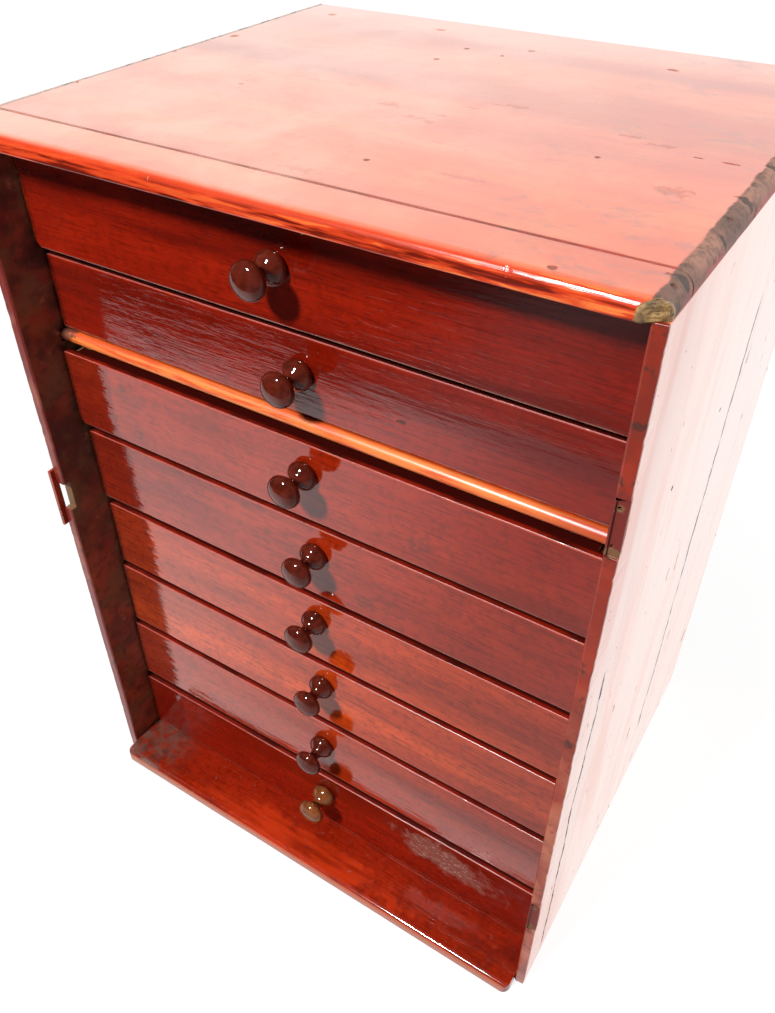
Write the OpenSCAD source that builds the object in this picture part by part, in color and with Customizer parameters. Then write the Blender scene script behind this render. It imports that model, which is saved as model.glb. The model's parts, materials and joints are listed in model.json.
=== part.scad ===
// Table-top specimen chest: an open-fronted case that holds eight full-width drawers.
// The origin is at the centre of the case's footprint, on the surface that it stands on.
// +Z is up, the open front faces -Y, and the drawers slide out towards -Y.

/* [Case] */
// Width of the case over its two sides
case_w = 356; // [300:1:420]
// Height of the case from the surface that it stands on to its top
case_h = 502; // [440:1:580]
// Depth of the sides from front edge to back edge
case_d = 306; // [280:1:360]
// Thickness of the side boards
side_t = 6.3; // [5.5:0.1:10]
// Thickness of the top boards
top_t = 9; // [7:0.5:14]
// Thickness of the bottom board
bottom_t = 9; // [7:0.5:14]
// Thickness of the back boards
back_t = 6; // [4:0.5:9]
// Bevel along the inner front edge of each side
side_bevel = 0.8; // [0.4:0.1:1.5]

/* [Top and bottom boards] */
// Overhang of the top in front of the sides
top_overhang = 4.5; // [2:0.5:10]
// How far behind the sides' front edges the seam between the two top boards lies
top_seam_y = 23.4; // [15:0.1:60]
// Width of the open seam between the two top boards
top_seam_w = 0.6; // [0.2:0.1:0.9]
// Radius of the rounded upper front edge of the top
nosing_r = 5; // [2:0.5:6]
// Radius of the eased lower front edge of the top
nosing_low_r = 1.2; // [0.5:0.1:2]
// Radius of the worn upper edge at the left end of the top
top_left_r = 2; // [0.5:0.5:6.5]
// Radius of the worn upper edge at the right end of the top
top_right_r = 6.5; // [0.5:0.5:6.5]
// Projection of the bottom board in front of the sides
lip_d = 12.2; // [8:0.1:20]
// Radius of the rounded upper front edge of the bottom board
lip_r = 4; // [2:0.5:5]
// Radius of the rounded front corners of the bottom board
lip_corner_r = 6; // [3:0.5:8]

/* [Shelf] */
// Thickness of the shelf between the second and third drawers
shelf_t = 8; // [6:0.5:12]
// Setback of the shelf's rounded front edge behind the sides' front edges
shelf_setback = 25.5; // [20:0.5:34]
// Depth of the housings in the sides that hold the shelf
shelf_housing = 2; // [1:0.5:3]

/* [Drawer fronts] */
// Height of the front of drawer 1, the top one (all eight are fitted to the case's height)
drawer_1_front_h = 61.5; // [48:0.5:80]
// Height of the front of drawer 2
drawer_2_front_h = 45.5; // [36:0.5:80]
// Height of the front of drawer 3
drawer_3_front_h = 51.5; // [40:0.5:80]
// Height of the front of drawer 4
drawer_4_front_h = 53.5; // [42:0.5:80]
// Height of the front of drawer 5
drawer_5_front_h = 53.5; // [42:0.5:80]
// Height of the front of drawer 6
drawer_6_front_h = 55.5; // [44:0.5:80]
// Height of the front of drawer 7
drawer_7_front_h = 56; // [44:0.5:80]
// Height of the front of drawer 8, the bottom one
drawer_8_front_h = 55.5; // [44:0.5:80]
// Thickness of the drawer fronts
front_t = 9; // [8:0.5:14]
// Radius of the eased front edges of the drawer fronts
front_edge_r = 0.8; // [0.4:0.1:2]
// Radius of the worn lower left corner of drawers 1 and 3
worn_corner_r = 6.5; // [2:0.5:9]

/* [Gaps above the drawer fronts] */
// Gap between drawer 1 and the top
drawer_1_gap = 2; // [1:0.5:10]
// Gap between drawers 1 and 2
drawer_2_gap = 5.5; // [1:0.5:10]
// Gap between the shelf and drawer 3
drawer_3_gap = 5; // [1:0.5:10]
// Gap between drawers 3 and 4
drawer_4_gap = 8.5; // [1:0.5:10]
// Gap between drawers 4 and 5
drawer_5_gap = 7.5; // [1:0.5:10]
// Gap between drawers 5 and 6
drawer_6_gap = 3.5; // [1:0.5:10]
// Gap between drawers 6 and 7
drawer_7_gap = 3.5; // [1:0.5:10]
// Gap between drawers 7 and 8
drawer_8_gap = 6; // [1:0.5:10]

/* [Setbacks of the drawer fronts] */
// Setback of drawer 1 behind the sides' front edges
drawer_1_setback = 24; // [20:0.5:34]
// Setback of drawer 2
drawer_2_setback = 29; // [20:0.5:34]
// Setback of drawer 3
drawer_3_setback = 24; // [20:0.5:34]
// Setback of drawer 4
drawer_4_setback = 28; // [20:0.5:34]
// Setback of drawer 5
drawer_5_setback = 29.5; // [20:0.5:34]
// Setback of drawer 6
drawer_6_setback = 28; // [20:0.5:34]
// Setback of drawer 7
drawer_7_setback = 26.5; // [20:0.5:34]
// Setback of drawer 8
drawer_8_setback = 25.5; // [20:0.5:34]

/* [Drawer boxes] */
// Thickness of the drawer sides
drawer_side_t = 8; // [7.5:0.5:12]
// Thickness of the drawer backs
drawer_back_t = 7; // [5:0.5:10]
// Thickness of the drawer bottoms
drawer_bottom_t = 3.5; // [2.5:0.5:5]
// Depth of the grooves that hold the drawer bottoms
bottom_groove_d = 3; // [2:0.5:3]
// Height of the drawer bottoms above the lower edges of the drawer sides
bottom_rise = 3; // [2:0.5:5]
// Depth of the laps at the ends of the fronts that the drawer sides sit in
lap_d = 5; // [3:0.5:6]
// How far the upper edges of the drawer sides lie below the front's upper edge
side_top_drop = 4; // [2:0.5:8]
// How far the lower edges of hung drawer sides lie above the front's lower edge
side_low_rise = 1.5; // [0.5:0.5:4]
// How far the upper edges of the drawer backs lie below those of the sides
back_top_drop = 2; // [0:0.5:6]
// Play between a drawer and the case on each side
side_play = 1.2; // [0.6:0.1:1.5]
// Play behind the drawer with the deepest setback
rear_play = 4.5; // [2:0.5:10]

/* [Runners] */
// Height of the runner strips
runner_h = 6; // [4:0.5:8]
// How far the runner strips stand out from the sides of the case
runner_w = 4.8; // [4:0.1:5.2]
// Gap between a runner and the groove or edge that rides on it
run_gap = 0.3; // [0.2:0.1:0.5]
// Gap below a runner inside its groove
groove_low_gap = 0.5; // [0.3:0.1:0.8]
// Gap between a runner's edge and the floor of its groove
groove_floor_gap = 0.5; // [0.3:0.1:0.8]
// Gap between the front of a runner and the end of its groove
stop_gap = 0.4; // [0.3:0.1:1]
// Gap below the fronts of the two drawers that rest on boards
rest_gap = 1; // [0.6:0.1:2]

/* [Knobs] */
// Diameter of a knob's head
knob_head_d = 19.5; // [16:0.5:22]
// Diameter of a knob's collar
knob_collar_d = 17.5; // [14:0.5:20]
// Diameter of a knob's neck
knob_neck_d = 7.5; // [7:0.5:9]
// Diameter of the spigot that fixes a knob
knob_spigot_d = 7; // [5:0.5:7]
// Radial clearance of the spigot in its bore
knob_fit = 0.05; // [0.02:0.01:0.1]
// How far a knob stands out from its drawer front
knob_l = 23.5; // [20:0.5:26]
// Height of the middle of each knob above the middle of its front, drawers 1 to 4
upper_knob_rise = [-1, 1.5, 6, 6.5]; // [-10:0.5:10]
// The same for drawers 5 to 8
lower_knob_rise = [9, 9.5, 4.5, 7]; // [-10:0.5:10]
// Shift of each knob to the right of the middle of its front, drawers 1 to 4
upper_knob_shift = [-5, 2, 4.5, 5]; // [-8:0.5:8]
// The same for drawers 5 to 8
lower_knob_shift = [1, 4.5, 2.5, 2]; // [-8:0.5:8]

/* [Old door fittings] */
// Length of the two hinge seats in the right side's front edge
seat_l = 30; // [20:0.5:50]
// Depth of the hinge seats
seat_d = 1.2; // [0.5:0.1:2.5]
// Wood left inside the hinge seats
seat_land = 0.9; // [0.5:0.1:1.5]
// Distance from the floor to the middle of the lower hinge seat
lower_seat_z = 89.5; // [60:0.5:150]
// Distance from the top of the case to the middle of the upper hinge seat
upper_seat_drop = 98.5; // [60:0.5:150]
// Diameter of the old screw holes
screw_hole_d = 1.8; // [1:0.1:2.5]
// Depth of the old screw holes
screw_hole_l = 9; // [5:0.5:15]
// Height of the lock notch in the left side's front edge
notch_h = 21; // [12:0.5:30]
// Depth of the lock notch
notch_d = 4.5; // [3:0.5:8]
// Height of the middle of the lock notch above the middle of the case
notch_rise = 16; // [-40:0.5:40]
// Length of the keeper strip outside the lock notch
keeper_l = 45; // [30:0.5:60]
// Thickness of the keeper strip
keeper_t = 2.5; // [2:0.5:5]
// How far the keeper strip lies along the side behind its front edge
keeper_hold = 1.7; // [1:0.1:6]
// How far the keeper strip stands in front of the side's front edge
keeper_front = 3; // [1.5:0.5:6]
// Width of the piece broken out of the top's right front corner
break_w = 8.5; // [2:0.5:15]
// Depth of the piece broken out of the top's right front corner
break_d = 7; // [2:0.5:12]

/* [Nails] */
// Diameter of the nail shanks
nail_d = 1.2; // [0.8:0.1:2]
// Diameter of the nail heads
nail_head_d = 2.6; // [2:0.1:4]
// Thickness of the nail heads
nail_head_t = 0.6; // [0.4:0.1:1]
// Length of the nails
nail_l = 18; // [12:0.5:25]
// How far the nail heads are punched below the surface
nail_punch = 0.5; // [0.3:0.1:1]

/* [Hidden] */
drawer_count = 8;
// The drawer that rests on the shelf
shelf_drawer = 2;
// Open seam between the two back boards
back_seam_w = 0.3;
// Distance from a drawer front to the start of the runner grooves
groove_start = 2;
// Distance between the screw holes of a hinge seat, as a share of its length
screw_share = 0.65;
// How far the middle of the keeper strip lies below the middle of the lock notch
keeper_drop = 1.5;
// Where the nails through the top enter the sides, as a share of the sides' thickness
nail_share = 0.35;
// How far a cut reaches past the face that it opens
cut = 1;
// Number of flats on a full circle
$fn = 48;

CASE_NODES = [
    "left_side", "right_side", "top_front_board", "top_rear_board", "bottom_board", "mid_shelf",
    "back_lower_board", "back_upper_board", "left_runners", "right_runners", "lock_keeper", "case_nails"
];
DRAWER_PIECES = ["front", "left_side", "right_side", "back", "bottom", "knob"];

// Lists of the drawers' own sizes, from drawer 1 at the top to drawer 8
wanted_heights = [
    drawer_1_front_h, drawer_2_front_h, drawer_3_front_h, drawer_4_front_h,
    drawer_5_front_h, drawer_6_front_h, drawer_7_front_h, drawer_8_front_h
];
gaps = [
    drawer_1_gap, drawer_2_gap, drawer_3_gap, drawer_4_gap,
    drawer_5_gap, drawer_6_gap, drawer_7_gap, drawer_8_gap
];
setbacks = [
    drawer_1_setback, drawer_2_setback, drawer_3_setback, drawer_4_setback,
    drawer_5_setback, drawer_6_setback, drawer_7_setback, drawer_8_setback
];
knob_rises = concat(upper_knob_rise, lower_knob_rise);
knob_shifts = concat(upper_knob_shift, lower_knob_shift);

// The fronts share the height that the boards and gaps leave, in proportion to their wanted heights
function total(list, i = 0) = i == len(list) ? 0 : list[i] + total(list, i + 1);
side_top_z = case_h - top_t;
resting_drawers = 2;
fronts_h = side_top_z - shelf_t - bottom_t - resting_drawers * rest_gap - total(gaps);
front_heights = [for (h = wanted_heights) h * fronts_h / total(wanted_heights)];

// Planes of the case
half_w = case_w / 2;
inner_half_w = half_w - side_t;
front_y = -case_d / 2;
back_y = case_d / 2;
back_inner_y = back_y - back_t;
shelf_z = front_top_z(shelf_drawer + 1) + gaps[shelf_drawer];
back_seam_z = side_top_z / 2;
notch_z = case_h / 2 + notch_rise;
keeper_z = notch_z - keeper_drop;
seat_heights = [lower_seat_z, case_h - upper_seat_drop];
screw_spacing = screw_share * seat_l;
screw_x = inner_half_w + side_t / 2 - seat_land / 2;

// Sizes that all drawers share
drawer_half_w = inner_half_w - side_play;
drawer_inner_half_w = drawer_half_w - drawer_side_t;
drawer_l = case_d - back_t - rear_play - max(setbacks);
groove_d = runner_w - side_play + groove_floor_gap;

function drawer_node(i, piece) = str("drawer_", i, "_", piece);

// Drawers 2 and 8 rest on the shelf and on the bottom board, and the others hang on runners
function rests(i) = i == shelf_drawer || i == drawer_count;
hung_drawers = [for (i = [1:drawer_count]) if (!rests(i)) i];

// Height of the lower edge of the front of drawer i
function front_z(i) =
    i == drawer_count ? bottom_t + rest_gap :
    i == shelf_drawer ? shelf_z + shelf_t + rest_gap :
    front_z(i + 1) + front_heights[i] + gaps[i];

function front_top_z(i) = front_z(i) + front_heights[i - 1];
function face_y(i) = front_y + setbacks[i - 1];
function rear_y(i) = face_y(i) + drawer_l;
function box_z(i) = rests(i) ? front_z(i) - rest_gap + run_gap : front_z(i) + side_low_rise;
function box_top_z(i) = front_top_z(i) - side_top_drop;
function runner_z(i) = (box_z(i) + box_top_z(i) - runner_h) / 2;
function knob_x(i) = knob_shifts[i - 1];
function knob_z(i) = front_z(i) + front_heights[i - 1] / 2 + knob_rises[i - 1];

// Points on a quarter of an ellipse, from angle a0 to angle a1
function arc(cx, cz, rx, rz, a0, a1, steps) =
    [for (k = [0:steps]) let (a = a0 + (a1 - a0) * k / steps) [cx + rx * cos(a), cz + rz * sin(a)]];

// A plain board between two opposite corners
module board(low, high) {
    translate(low) cube(high - low);
}

// What is cut away to round the lower left corner of a flat outline that starts at the origin
module corner_waste(r) {
    difference() {
        translate([-cut, -cut]) square(r + cut);
        translate([r, r]) circle(r);
    }
}

// A side profile with its front at the origin, rounded at the upper and lower front edges
module eased_profile(depth, height, top_r, low_r) {
    difference() {
        square([depth, height]);
        corner_waste(low_r);
        translate([0, height]) mirror([0, 1]) corner_waste(top_r);
    }
}

// Extrudes a side profile along the width, from x0 to x1
module along_x(x0, x1) {
    translate([x0, 0, 0]) rotate([90, 0, 90]) linear_extrude(x1 - x0) children();
}

// Extrudes a front outline from y0 back to y1
module along_y(y0, y1) {
    translate([0, y1, 0]) rotate([90, 0, 0]) linear_extrude(y1 - y0) children();
}

// The left side board: bevelled inner front edge and a housing for the shelf
module side_blank() {
    difference() {
        linear_extrude(side_top_z) polygon([
            [-half_w, front_y],
            [-inner_half_w - side_bevel, front_y],
            [-inner_half_w, front_y + side_bevel],
            [-inner_half_w, back_y],
            [-half_w, back_y]
        ]);
        board(
            [-inner_half_w - shelf_housing, front_y + shelf_setback, shelf_z],
            [-inner_half_w + cut, back_inner_y, shelf_z + shelf_t]
        );
    }
}

module left_side() {
    color("firebrick") difference() {
        side_blank();
        board(
            [-half_w - cut, front_y - cut, notch_z - notch_h / 2],
            [-inner_half_w + cut, front_y + notch_d, notch_z + notch_h / 2]
        );
    }
}

// A shallow seat for one leaf of a butt hinge, with its two old screw holes
module hinge_seat(z) {
    board(
        [inner_half_w + seat_land, front_y - cut, z - seat_l / 2],
        [half_w + cut, front_y + seat_d, z + seat_l / 2]
    );
    for (end = [-1, 1])
        translate([screw_x, front_y + seat_d + screw_hole_l, z + end * screw_spacing / 2])
            rotate([90, 0, 0]) cylinder(h = screw_hole_l + seat_d + cut, d = screw_hole_d);
}

module right_side() {
    color("firebrick") difference() {
        mirror([1, 0, 0]) side_blank();
        for (z = seat_heights) hinge_seat(z);
    }
}

// The worn upper edges at the two ends of the top, as an outline seen from the front
module top_end_outline() {
    translate([-half_w, side_top_z]) difference() {
        square([case_w, top_t]);
        translate([0, top_t]) mirror([0, 1]) corner_waste(top_left_r);
        translate([case_w, top_t]) mirror([1, 0]) mirror([0, 1]) corner_waste(top_right_r);
    }
}

// Pits left by the punched nails in the top boards
module top_nail_pits() {
    for (spot = top_nails)
        translate([spot[0], spot[1], top_head_z(spot[0])])
            cylinder(h = case_h - top_head_z(spot[0]) + cut, d = nail_head_d);
}

module top_front_board() {
    nose_y = front_y - top_overhang;
    seam_y = front_y + top_seam_y - top_seam_w;
    color("tomato") difference() {
        intersection() {
            along_x(-half_w, half_w) translate([nose_y, side_top_z])
                eased_profile(seam_y - nose_y, top_t, nosing_r, nosing_low_r);
            along_y(nose_y, seam_y) top_end_outline();
        }
        translate([0, 0, side_top_z - cut]) linear_extrude(top_t + 2 * cut) polygon([
            [half_w - break_w, nose_y - cut],
            [half_w + cut, nose_y - cut],
            [half_w + cut, nose_y + break_d],
            [half_w, nose_y + break_d],
            [half_w - break_w, nose_y]
        ]);
        top_nail_pits();
    }
}

module top_rear_board() {
    color("salmon") difference() {
        along_y(front_y + top_seam_y, back_y) top_end_outline();
        top_nail_pits();
    }
}

// The bottom board: its rounded lip stands out in front of the sides
module bottom_board() {
    lip_y = front_y - lip_d;
    w = 2 * inner_half_w;
    d = back_inner_y - lip_y;
    color("firebrick") intersection() {
        along_x(-inner_half_w, inner_half_w) translate([lip_y, 0])
            eased_profile(d, bottom_t, lip_r, nosing_low_r);
        translate([-inner_half_w, lip_y, 0]) linear_extrude(bottom_t) difference() {
            square([w, d]);
            corner_waste(lip_corner_r);
            translate([w, 0]) mirror([1, 0]) corner_waste(lip_corner_r);
        }
    }
}

// The shelf between drawers 2 and 3, with a fully rounded front edge
module mid_shelf() {
    reach = inner_half_w + shelf_housing;
    r = shelf_t / 2;
    color("orangered") along_x(-reach, reach) translate([front_y + shelf_setback, shelf_z]) {
        translate([r, r]) circle(r);
        translate([r, 0]) square([case_d - back_t - shelf_setback - r, shelf_t]);
    }
}

module back_lower_board() {
    color("sienna") board(
        [-inner_half_w, back_inner_y, 0],
        [inner_half_w, back_y, back_seam_z - back_seam_w]
    );
}

module back_upper_board() {
    color("sienna") board(
        [-inner_half_w, back_inner_y, back_seam_z],
        [inner_half_w, back_y, side_top_z]
    );
}

// Runner strips on the inner face of the left side, one for each hung drawer
module left_runners() {
    color("peru") for (i = hung_drawers) board(
        [-inner_half_w, face_y(i) + front_t + groove_start + stop_gap, runner_z(i)],
        [-inner_half_w + runner_w, back_inner_y, runner_z(i) + runner_h]
    );
}

module right_runners() {
    mirror([1, 0, 0]) left_runners();
}

// The keeper strip outside the lock notch, with rounded ends
module lock_keeper() {
    r = keeper_t / 2;
    color("crimson") along_y(front_y - keeper_front, front_y + keeper_hold)
        translate([-half_w - keeper_t, keeper_z - keeper_l / 2]) {
            translate([0, r]) square([keeper_t, keeper_l - keeper_t]);
            translate([r, r]) circle(r);
            translate([r, keeper_l - r]) circle(r);
        }
}

// Places of the nails: through the top into the sides, and through the sides into
// the back boards, the bottom board and the shelf
nail_x = inner_half_w + nail_share * side_t;
top_nails = [
    for (sx = [-1, 1], y = [front_y + top_seam_y / 2, front_y + case_d / 4, 0, back_y - case_d / 8])
        [sx * nail_x, y]
];
side_nails = concat(
    [for (z = [0.15, 0.35, 0.65, 0.9]) [back_y - back_t / 2, z * side_top_z]],
    [for (y = [front_y + case_d / 8, 0, back_y - case_d / 8]) [y, bottom_t / 2]],
    [for (y = [front_y + case_d / 4, 0, back_y - case_d / 8]) [y, shelf_z + shelf_t / 2]]
);

// How far an edge of radius r is worn down at a distance x from its end
function worn_down(r, x) = x >= r ? 0 : r - sqrt(r * r - (r - x) * (r - x));

// Height of the punched nail heads in the top, which follow the worn ends
function top_head_z(x) =
    case_h - nail_punch - worn_down(x < 0 ? top_left_r : top_right_r, half_w - nail_x - nail_head_d / 2);

// A nail that points down from the underside of its head
module nail() {
    cylinder(h = nail_head_t, d = nail_head_d);
    translate([0, 0, nail_head_t - nail_l]) cylinder(h = nail_l - nail_head_t, d = nail_d);
}

module case_nails() {
    color("dimgray") {
        for (spot = top_nails)
            translate([spot[0], spot[1], top_head_z(spot[0]) - nail_head_t]) nail();
        for (sx = [-1, 1], spot = side_nails)
            translate([sx * (half_w - nail_head_t), spot[0], spot[1]])
                rotate([0, sx * 90, 0]) nail();
    }
}

// A drawer front: eased edges, lapped ends, a groove for the bottom and a bore for the knob
module drawer_front(i) {
    h = front_heights[i - 1];
    inner_y = face_y(i) + front_t;
    left_r = (i == 1 || i == 3) ? worn_corner_r : front_edge_r;
    groove_z = box_z(i) + bottom_rise;
    color("darkred") difference() {
        intersection() {
            along_x(-drawer_half_w, drawer_half_w) translate([face_y(i), front_z(i)])
                eased_profile(front_t, h, front_edge_r, front_edge_r);
            along_y(face_y(i), inner_y) translate([-drawer_half_w, front_z(i)]) difference() {
                square([2 * drawer_half_w, h]);
                corner_waste(left_r);
            }
        }
        for (sx = [-1, 1]) board(
            [min(sx * drawer_inner_half_w, sx * (drawer_half_w + cut)), inner_y - lap_d, front_z(i) - cut],
            [max(sx * drawer_inner_half_w, sx * (drawer_half_w + cut)), inner_y + cut, front_top_z(i) + cut]
        );
        board(
            [-drawer_inner_half_w, inner_y - bottom_groove_d, groove_z],
            [drawer_inner_half_w, inner_y + cut, groove_z + drawer_bottom_t]
        );
        translate([knob_x(i), inner_y + cut, knob_z(i)]) rotate([90, 0, 0])
            cylinder(h = front_t + 2 * cut, r = knob_spigot_d / 2 + knob_fit);
    }
}

// A left drawer side: a groove inside for the bottom, and one outside for the runner if it hangs
module drawer_left_side(i) {
    inner_y = face_y(i) + front_t;
    groove_z = box_z(i) + bottom_rise;
    color("burlywood") difference() {
        board(
            [-drawer_half_w, inner_y - lap_d, box_z(i)],
            [-drawer_inner_half_w, rear_y(i), box_top_z(i)]
        );
        board(
            [-drawer_inner_half_w - bottom_groove_d, inner_y - bottom_groove_d, groove_z],
            [-drawer_inner_half_w + cut, rear_y(i) + cut, groove_z + drawer_bottom_t]
        );
        if (!rests(i)) board(
            [-drawer_half_w - cut, inner_y + groove_start, runner_z(i) - groove_low_gap],
            [-drawer_half_w + groove_d, rear_y(i) + cut, runner_z(i) + runner_h + run_gap]
        );
    }
}

module drawer_right_side(i) {
    mirror([1, 0, 0]) drawer_left_side(i);
}

module drawer_back(i) {
    color("burlywood") board(
        [-drawer_inner_half_w, rear_y(i) - drawer_back_t, box_z(i) + bottom_rise + drawer_bottom_t],
        [drawer_inner_half_w, rear_y(i), box_top_z(i) - back_top_drop]
    );
}

module drawer_bottom(i) {
    reach = drawer_inner_half_w + bottom_groove_d;
    z = box_z(i) + bottom_rise;
    color("tan") board(
        [-reach, face_y(i) + front_t - bottom_groove_d, z],
        [reach, rear_y(i), z + drawer_bottom_t]
    );
}

// A turned knob: spigot, rounded collar, short neck and domed head
module drawer_knob(i) {
    collar_r = knob_collar_d / 2;
    head_r = knob_head_d / 2;
    neck_r = knob_neck_d / 2;
    base_h = 0.12 * knob_l;
    collar_h = 0.35 * knob_l;
    under_head = 0.6 * knob_l;
    rim = 0.77 * knob_l;
    color("maroon") translate([knob_x(i), face_y(i), knob_z(i)]) rotate([90, 0, 0]) rotate_extrude()
        polygon(concat(
            [[0, -front_t], [knob_spigot_d / 2, -front_t], [knob_spigot_d / 2, 0]],
            arc(collar_r - base_h / 2, base_h, base_h / 2, base_h, -90, 0, 4),
            arc(neck_r, base_h, collar_r - neck_r, collar_h - base_h, 10, 90, 7),
            arc(neck_r, rim, head_r - neck_r, rim - under_head, -90, -10, 7),
            arc(0, rim, head_r, knob_l - rim, 0, 90, 9)
        ));
}

left_side();
right_side();
top_front_board();
top_rear_board();
bottom_board();
mid_shelf();
back_lower_board();
back_upper_board();
left_runners();
right_runners();
lock_keeper();
case_nails();
for (i = [1:drawer_count]) {
    drawer_front(i);
    drawer_left_side(i);
    drawer_right_side(i);
    drawer_back(i);
    drawer_bottom(i);
    drawer_knob(i);
}
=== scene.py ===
"""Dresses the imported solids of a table-top specimen chest in worn, red-stained and varnished wood.

Each board is a softened copy of its solid, the knobs are grown by a node tree, and every finish is
built from shader nodes. The frame is in metres: the open front faces -Y and +Z is up.
"""

import json
import math

import bmesh
import bpy
from mathutils import Euler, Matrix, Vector, noise


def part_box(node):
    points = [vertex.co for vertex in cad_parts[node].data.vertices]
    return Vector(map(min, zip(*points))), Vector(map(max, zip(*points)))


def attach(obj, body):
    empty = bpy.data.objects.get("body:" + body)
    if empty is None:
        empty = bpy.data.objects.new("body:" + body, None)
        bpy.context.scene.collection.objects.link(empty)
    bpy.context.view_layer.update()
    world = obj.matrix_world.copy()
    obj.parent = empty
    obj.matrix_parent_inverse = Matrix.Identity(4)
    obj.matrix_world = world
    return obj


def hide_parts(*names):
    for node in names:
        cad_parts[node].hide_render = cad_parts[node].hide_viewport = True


bl_info = {
    "name": "Specimen chest finish",
    "version": (1, 0, 0),
    "blender": (4, 5, 0),
    "location": "3D View > Sidebar > Chest",
    "description": "Dresses the solids of a specimen chest in worn, varnished wood",
    "category": "Object",
}

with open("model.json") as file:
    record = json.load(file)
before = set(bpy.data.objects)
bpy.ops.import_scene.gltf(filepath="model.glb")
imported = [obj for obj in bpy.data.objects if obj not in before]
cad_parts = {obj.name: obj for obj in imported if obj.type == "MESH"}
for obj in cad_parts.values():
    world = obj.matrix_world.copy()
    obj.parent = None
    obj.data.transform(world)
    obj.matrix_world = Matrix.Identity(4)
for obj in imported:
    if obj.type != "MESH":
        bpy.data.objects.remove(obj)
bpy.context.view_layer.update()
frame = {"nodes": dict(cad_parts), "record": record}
CASE_LOW, CASE_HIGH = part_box("left_side")[0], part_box("right_side")[1]
FRONT_Y, BACK_Y = CASE_LOW.y, CASE_HIGH.y
TOP_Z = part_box("top_rear_board")[1].z
HALF_W = CASE_HIGH.x
SHELF_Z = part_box("mid_shelf")[1].z
DRAWERS = range(1, 9)
MM = 0.001

# Where the worn right end of the top and its broken front corner begin across the chest
WORN_END_X = 169 * MM
BROKEN_X = 168.5 * MM

# How far the break of the corner runs across for each step back
BREAK_SLOPE = 8.5 / 7

# Stretch of the wood's pattern, for boards whose grain runs along X, Y or Z
ALONG = {"X": (0.06, 1, 1), "Y": (1, 0.06, 1), "Z": (1, 1, 0.06)}


# Settings that a user would change

def colour_setting(name, description, default):
    return bpy.props.FloatVectorProperty(
        name=name, description=description, default=default, subtype="COLOR", size=3)


def length_setting(name, description, default, least=0.0):
    """A length, with its default and its least value in millimetres."""
    return bpy.props.FloatProperty(
        name=name, description=description, default=default * MM, min=least * MM, unit="LENGTH")


def place_setting(name, description, default):
    return bpy.props.FloatVectorProperty(
        name=name, description=description, default=default, subtype="TRANSLATION", unit="LENGTH", size=3)


def power_setting(name, description, default):
    return bpy.props.FloatProperty(
        name=name, description=description, default=default, min=0.0, unit="POWER")


class ChestShape(bpy.types.PropertyGroup):
    """Sizes of the softened edges, the hand-made unevenness and the turned knobs."""

    arris_radius: length_setting("Arris radius", "Rounding of the boards' edges", 0.4)
    grid_step: length_setting("Grid step", "Size of the faces that the boards are divided into", 14, 2)
    sway: length_setting("Sway", "How far the faces of a board wander from flat", 0.25)
    chip_depth: length_setting("Chip depth", "Depth of the dents along the edges of the case", 0.55)
    splinter_depth: length_setting("Splinter depth", "Depth of the splinters in the top's broken corner", 1.5)
    knob_collar_d: length_setting("Collar diameter", "Diameter of a knob's collar", 17.5, 10)
    knob_neck_d: length_setting("Neck diameter", "Diameter of a knob's neck", 7.5, 4)
    knob_spigot_d: length_setting("Spigot diameter", "Diameter of the spigot behind a knob", 7, 3)
    knob_steps: bpy.props.IntProperty(
        name="Steps round a knob", description="Number of faces round a turned knob", default=64, min=12)


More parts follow.
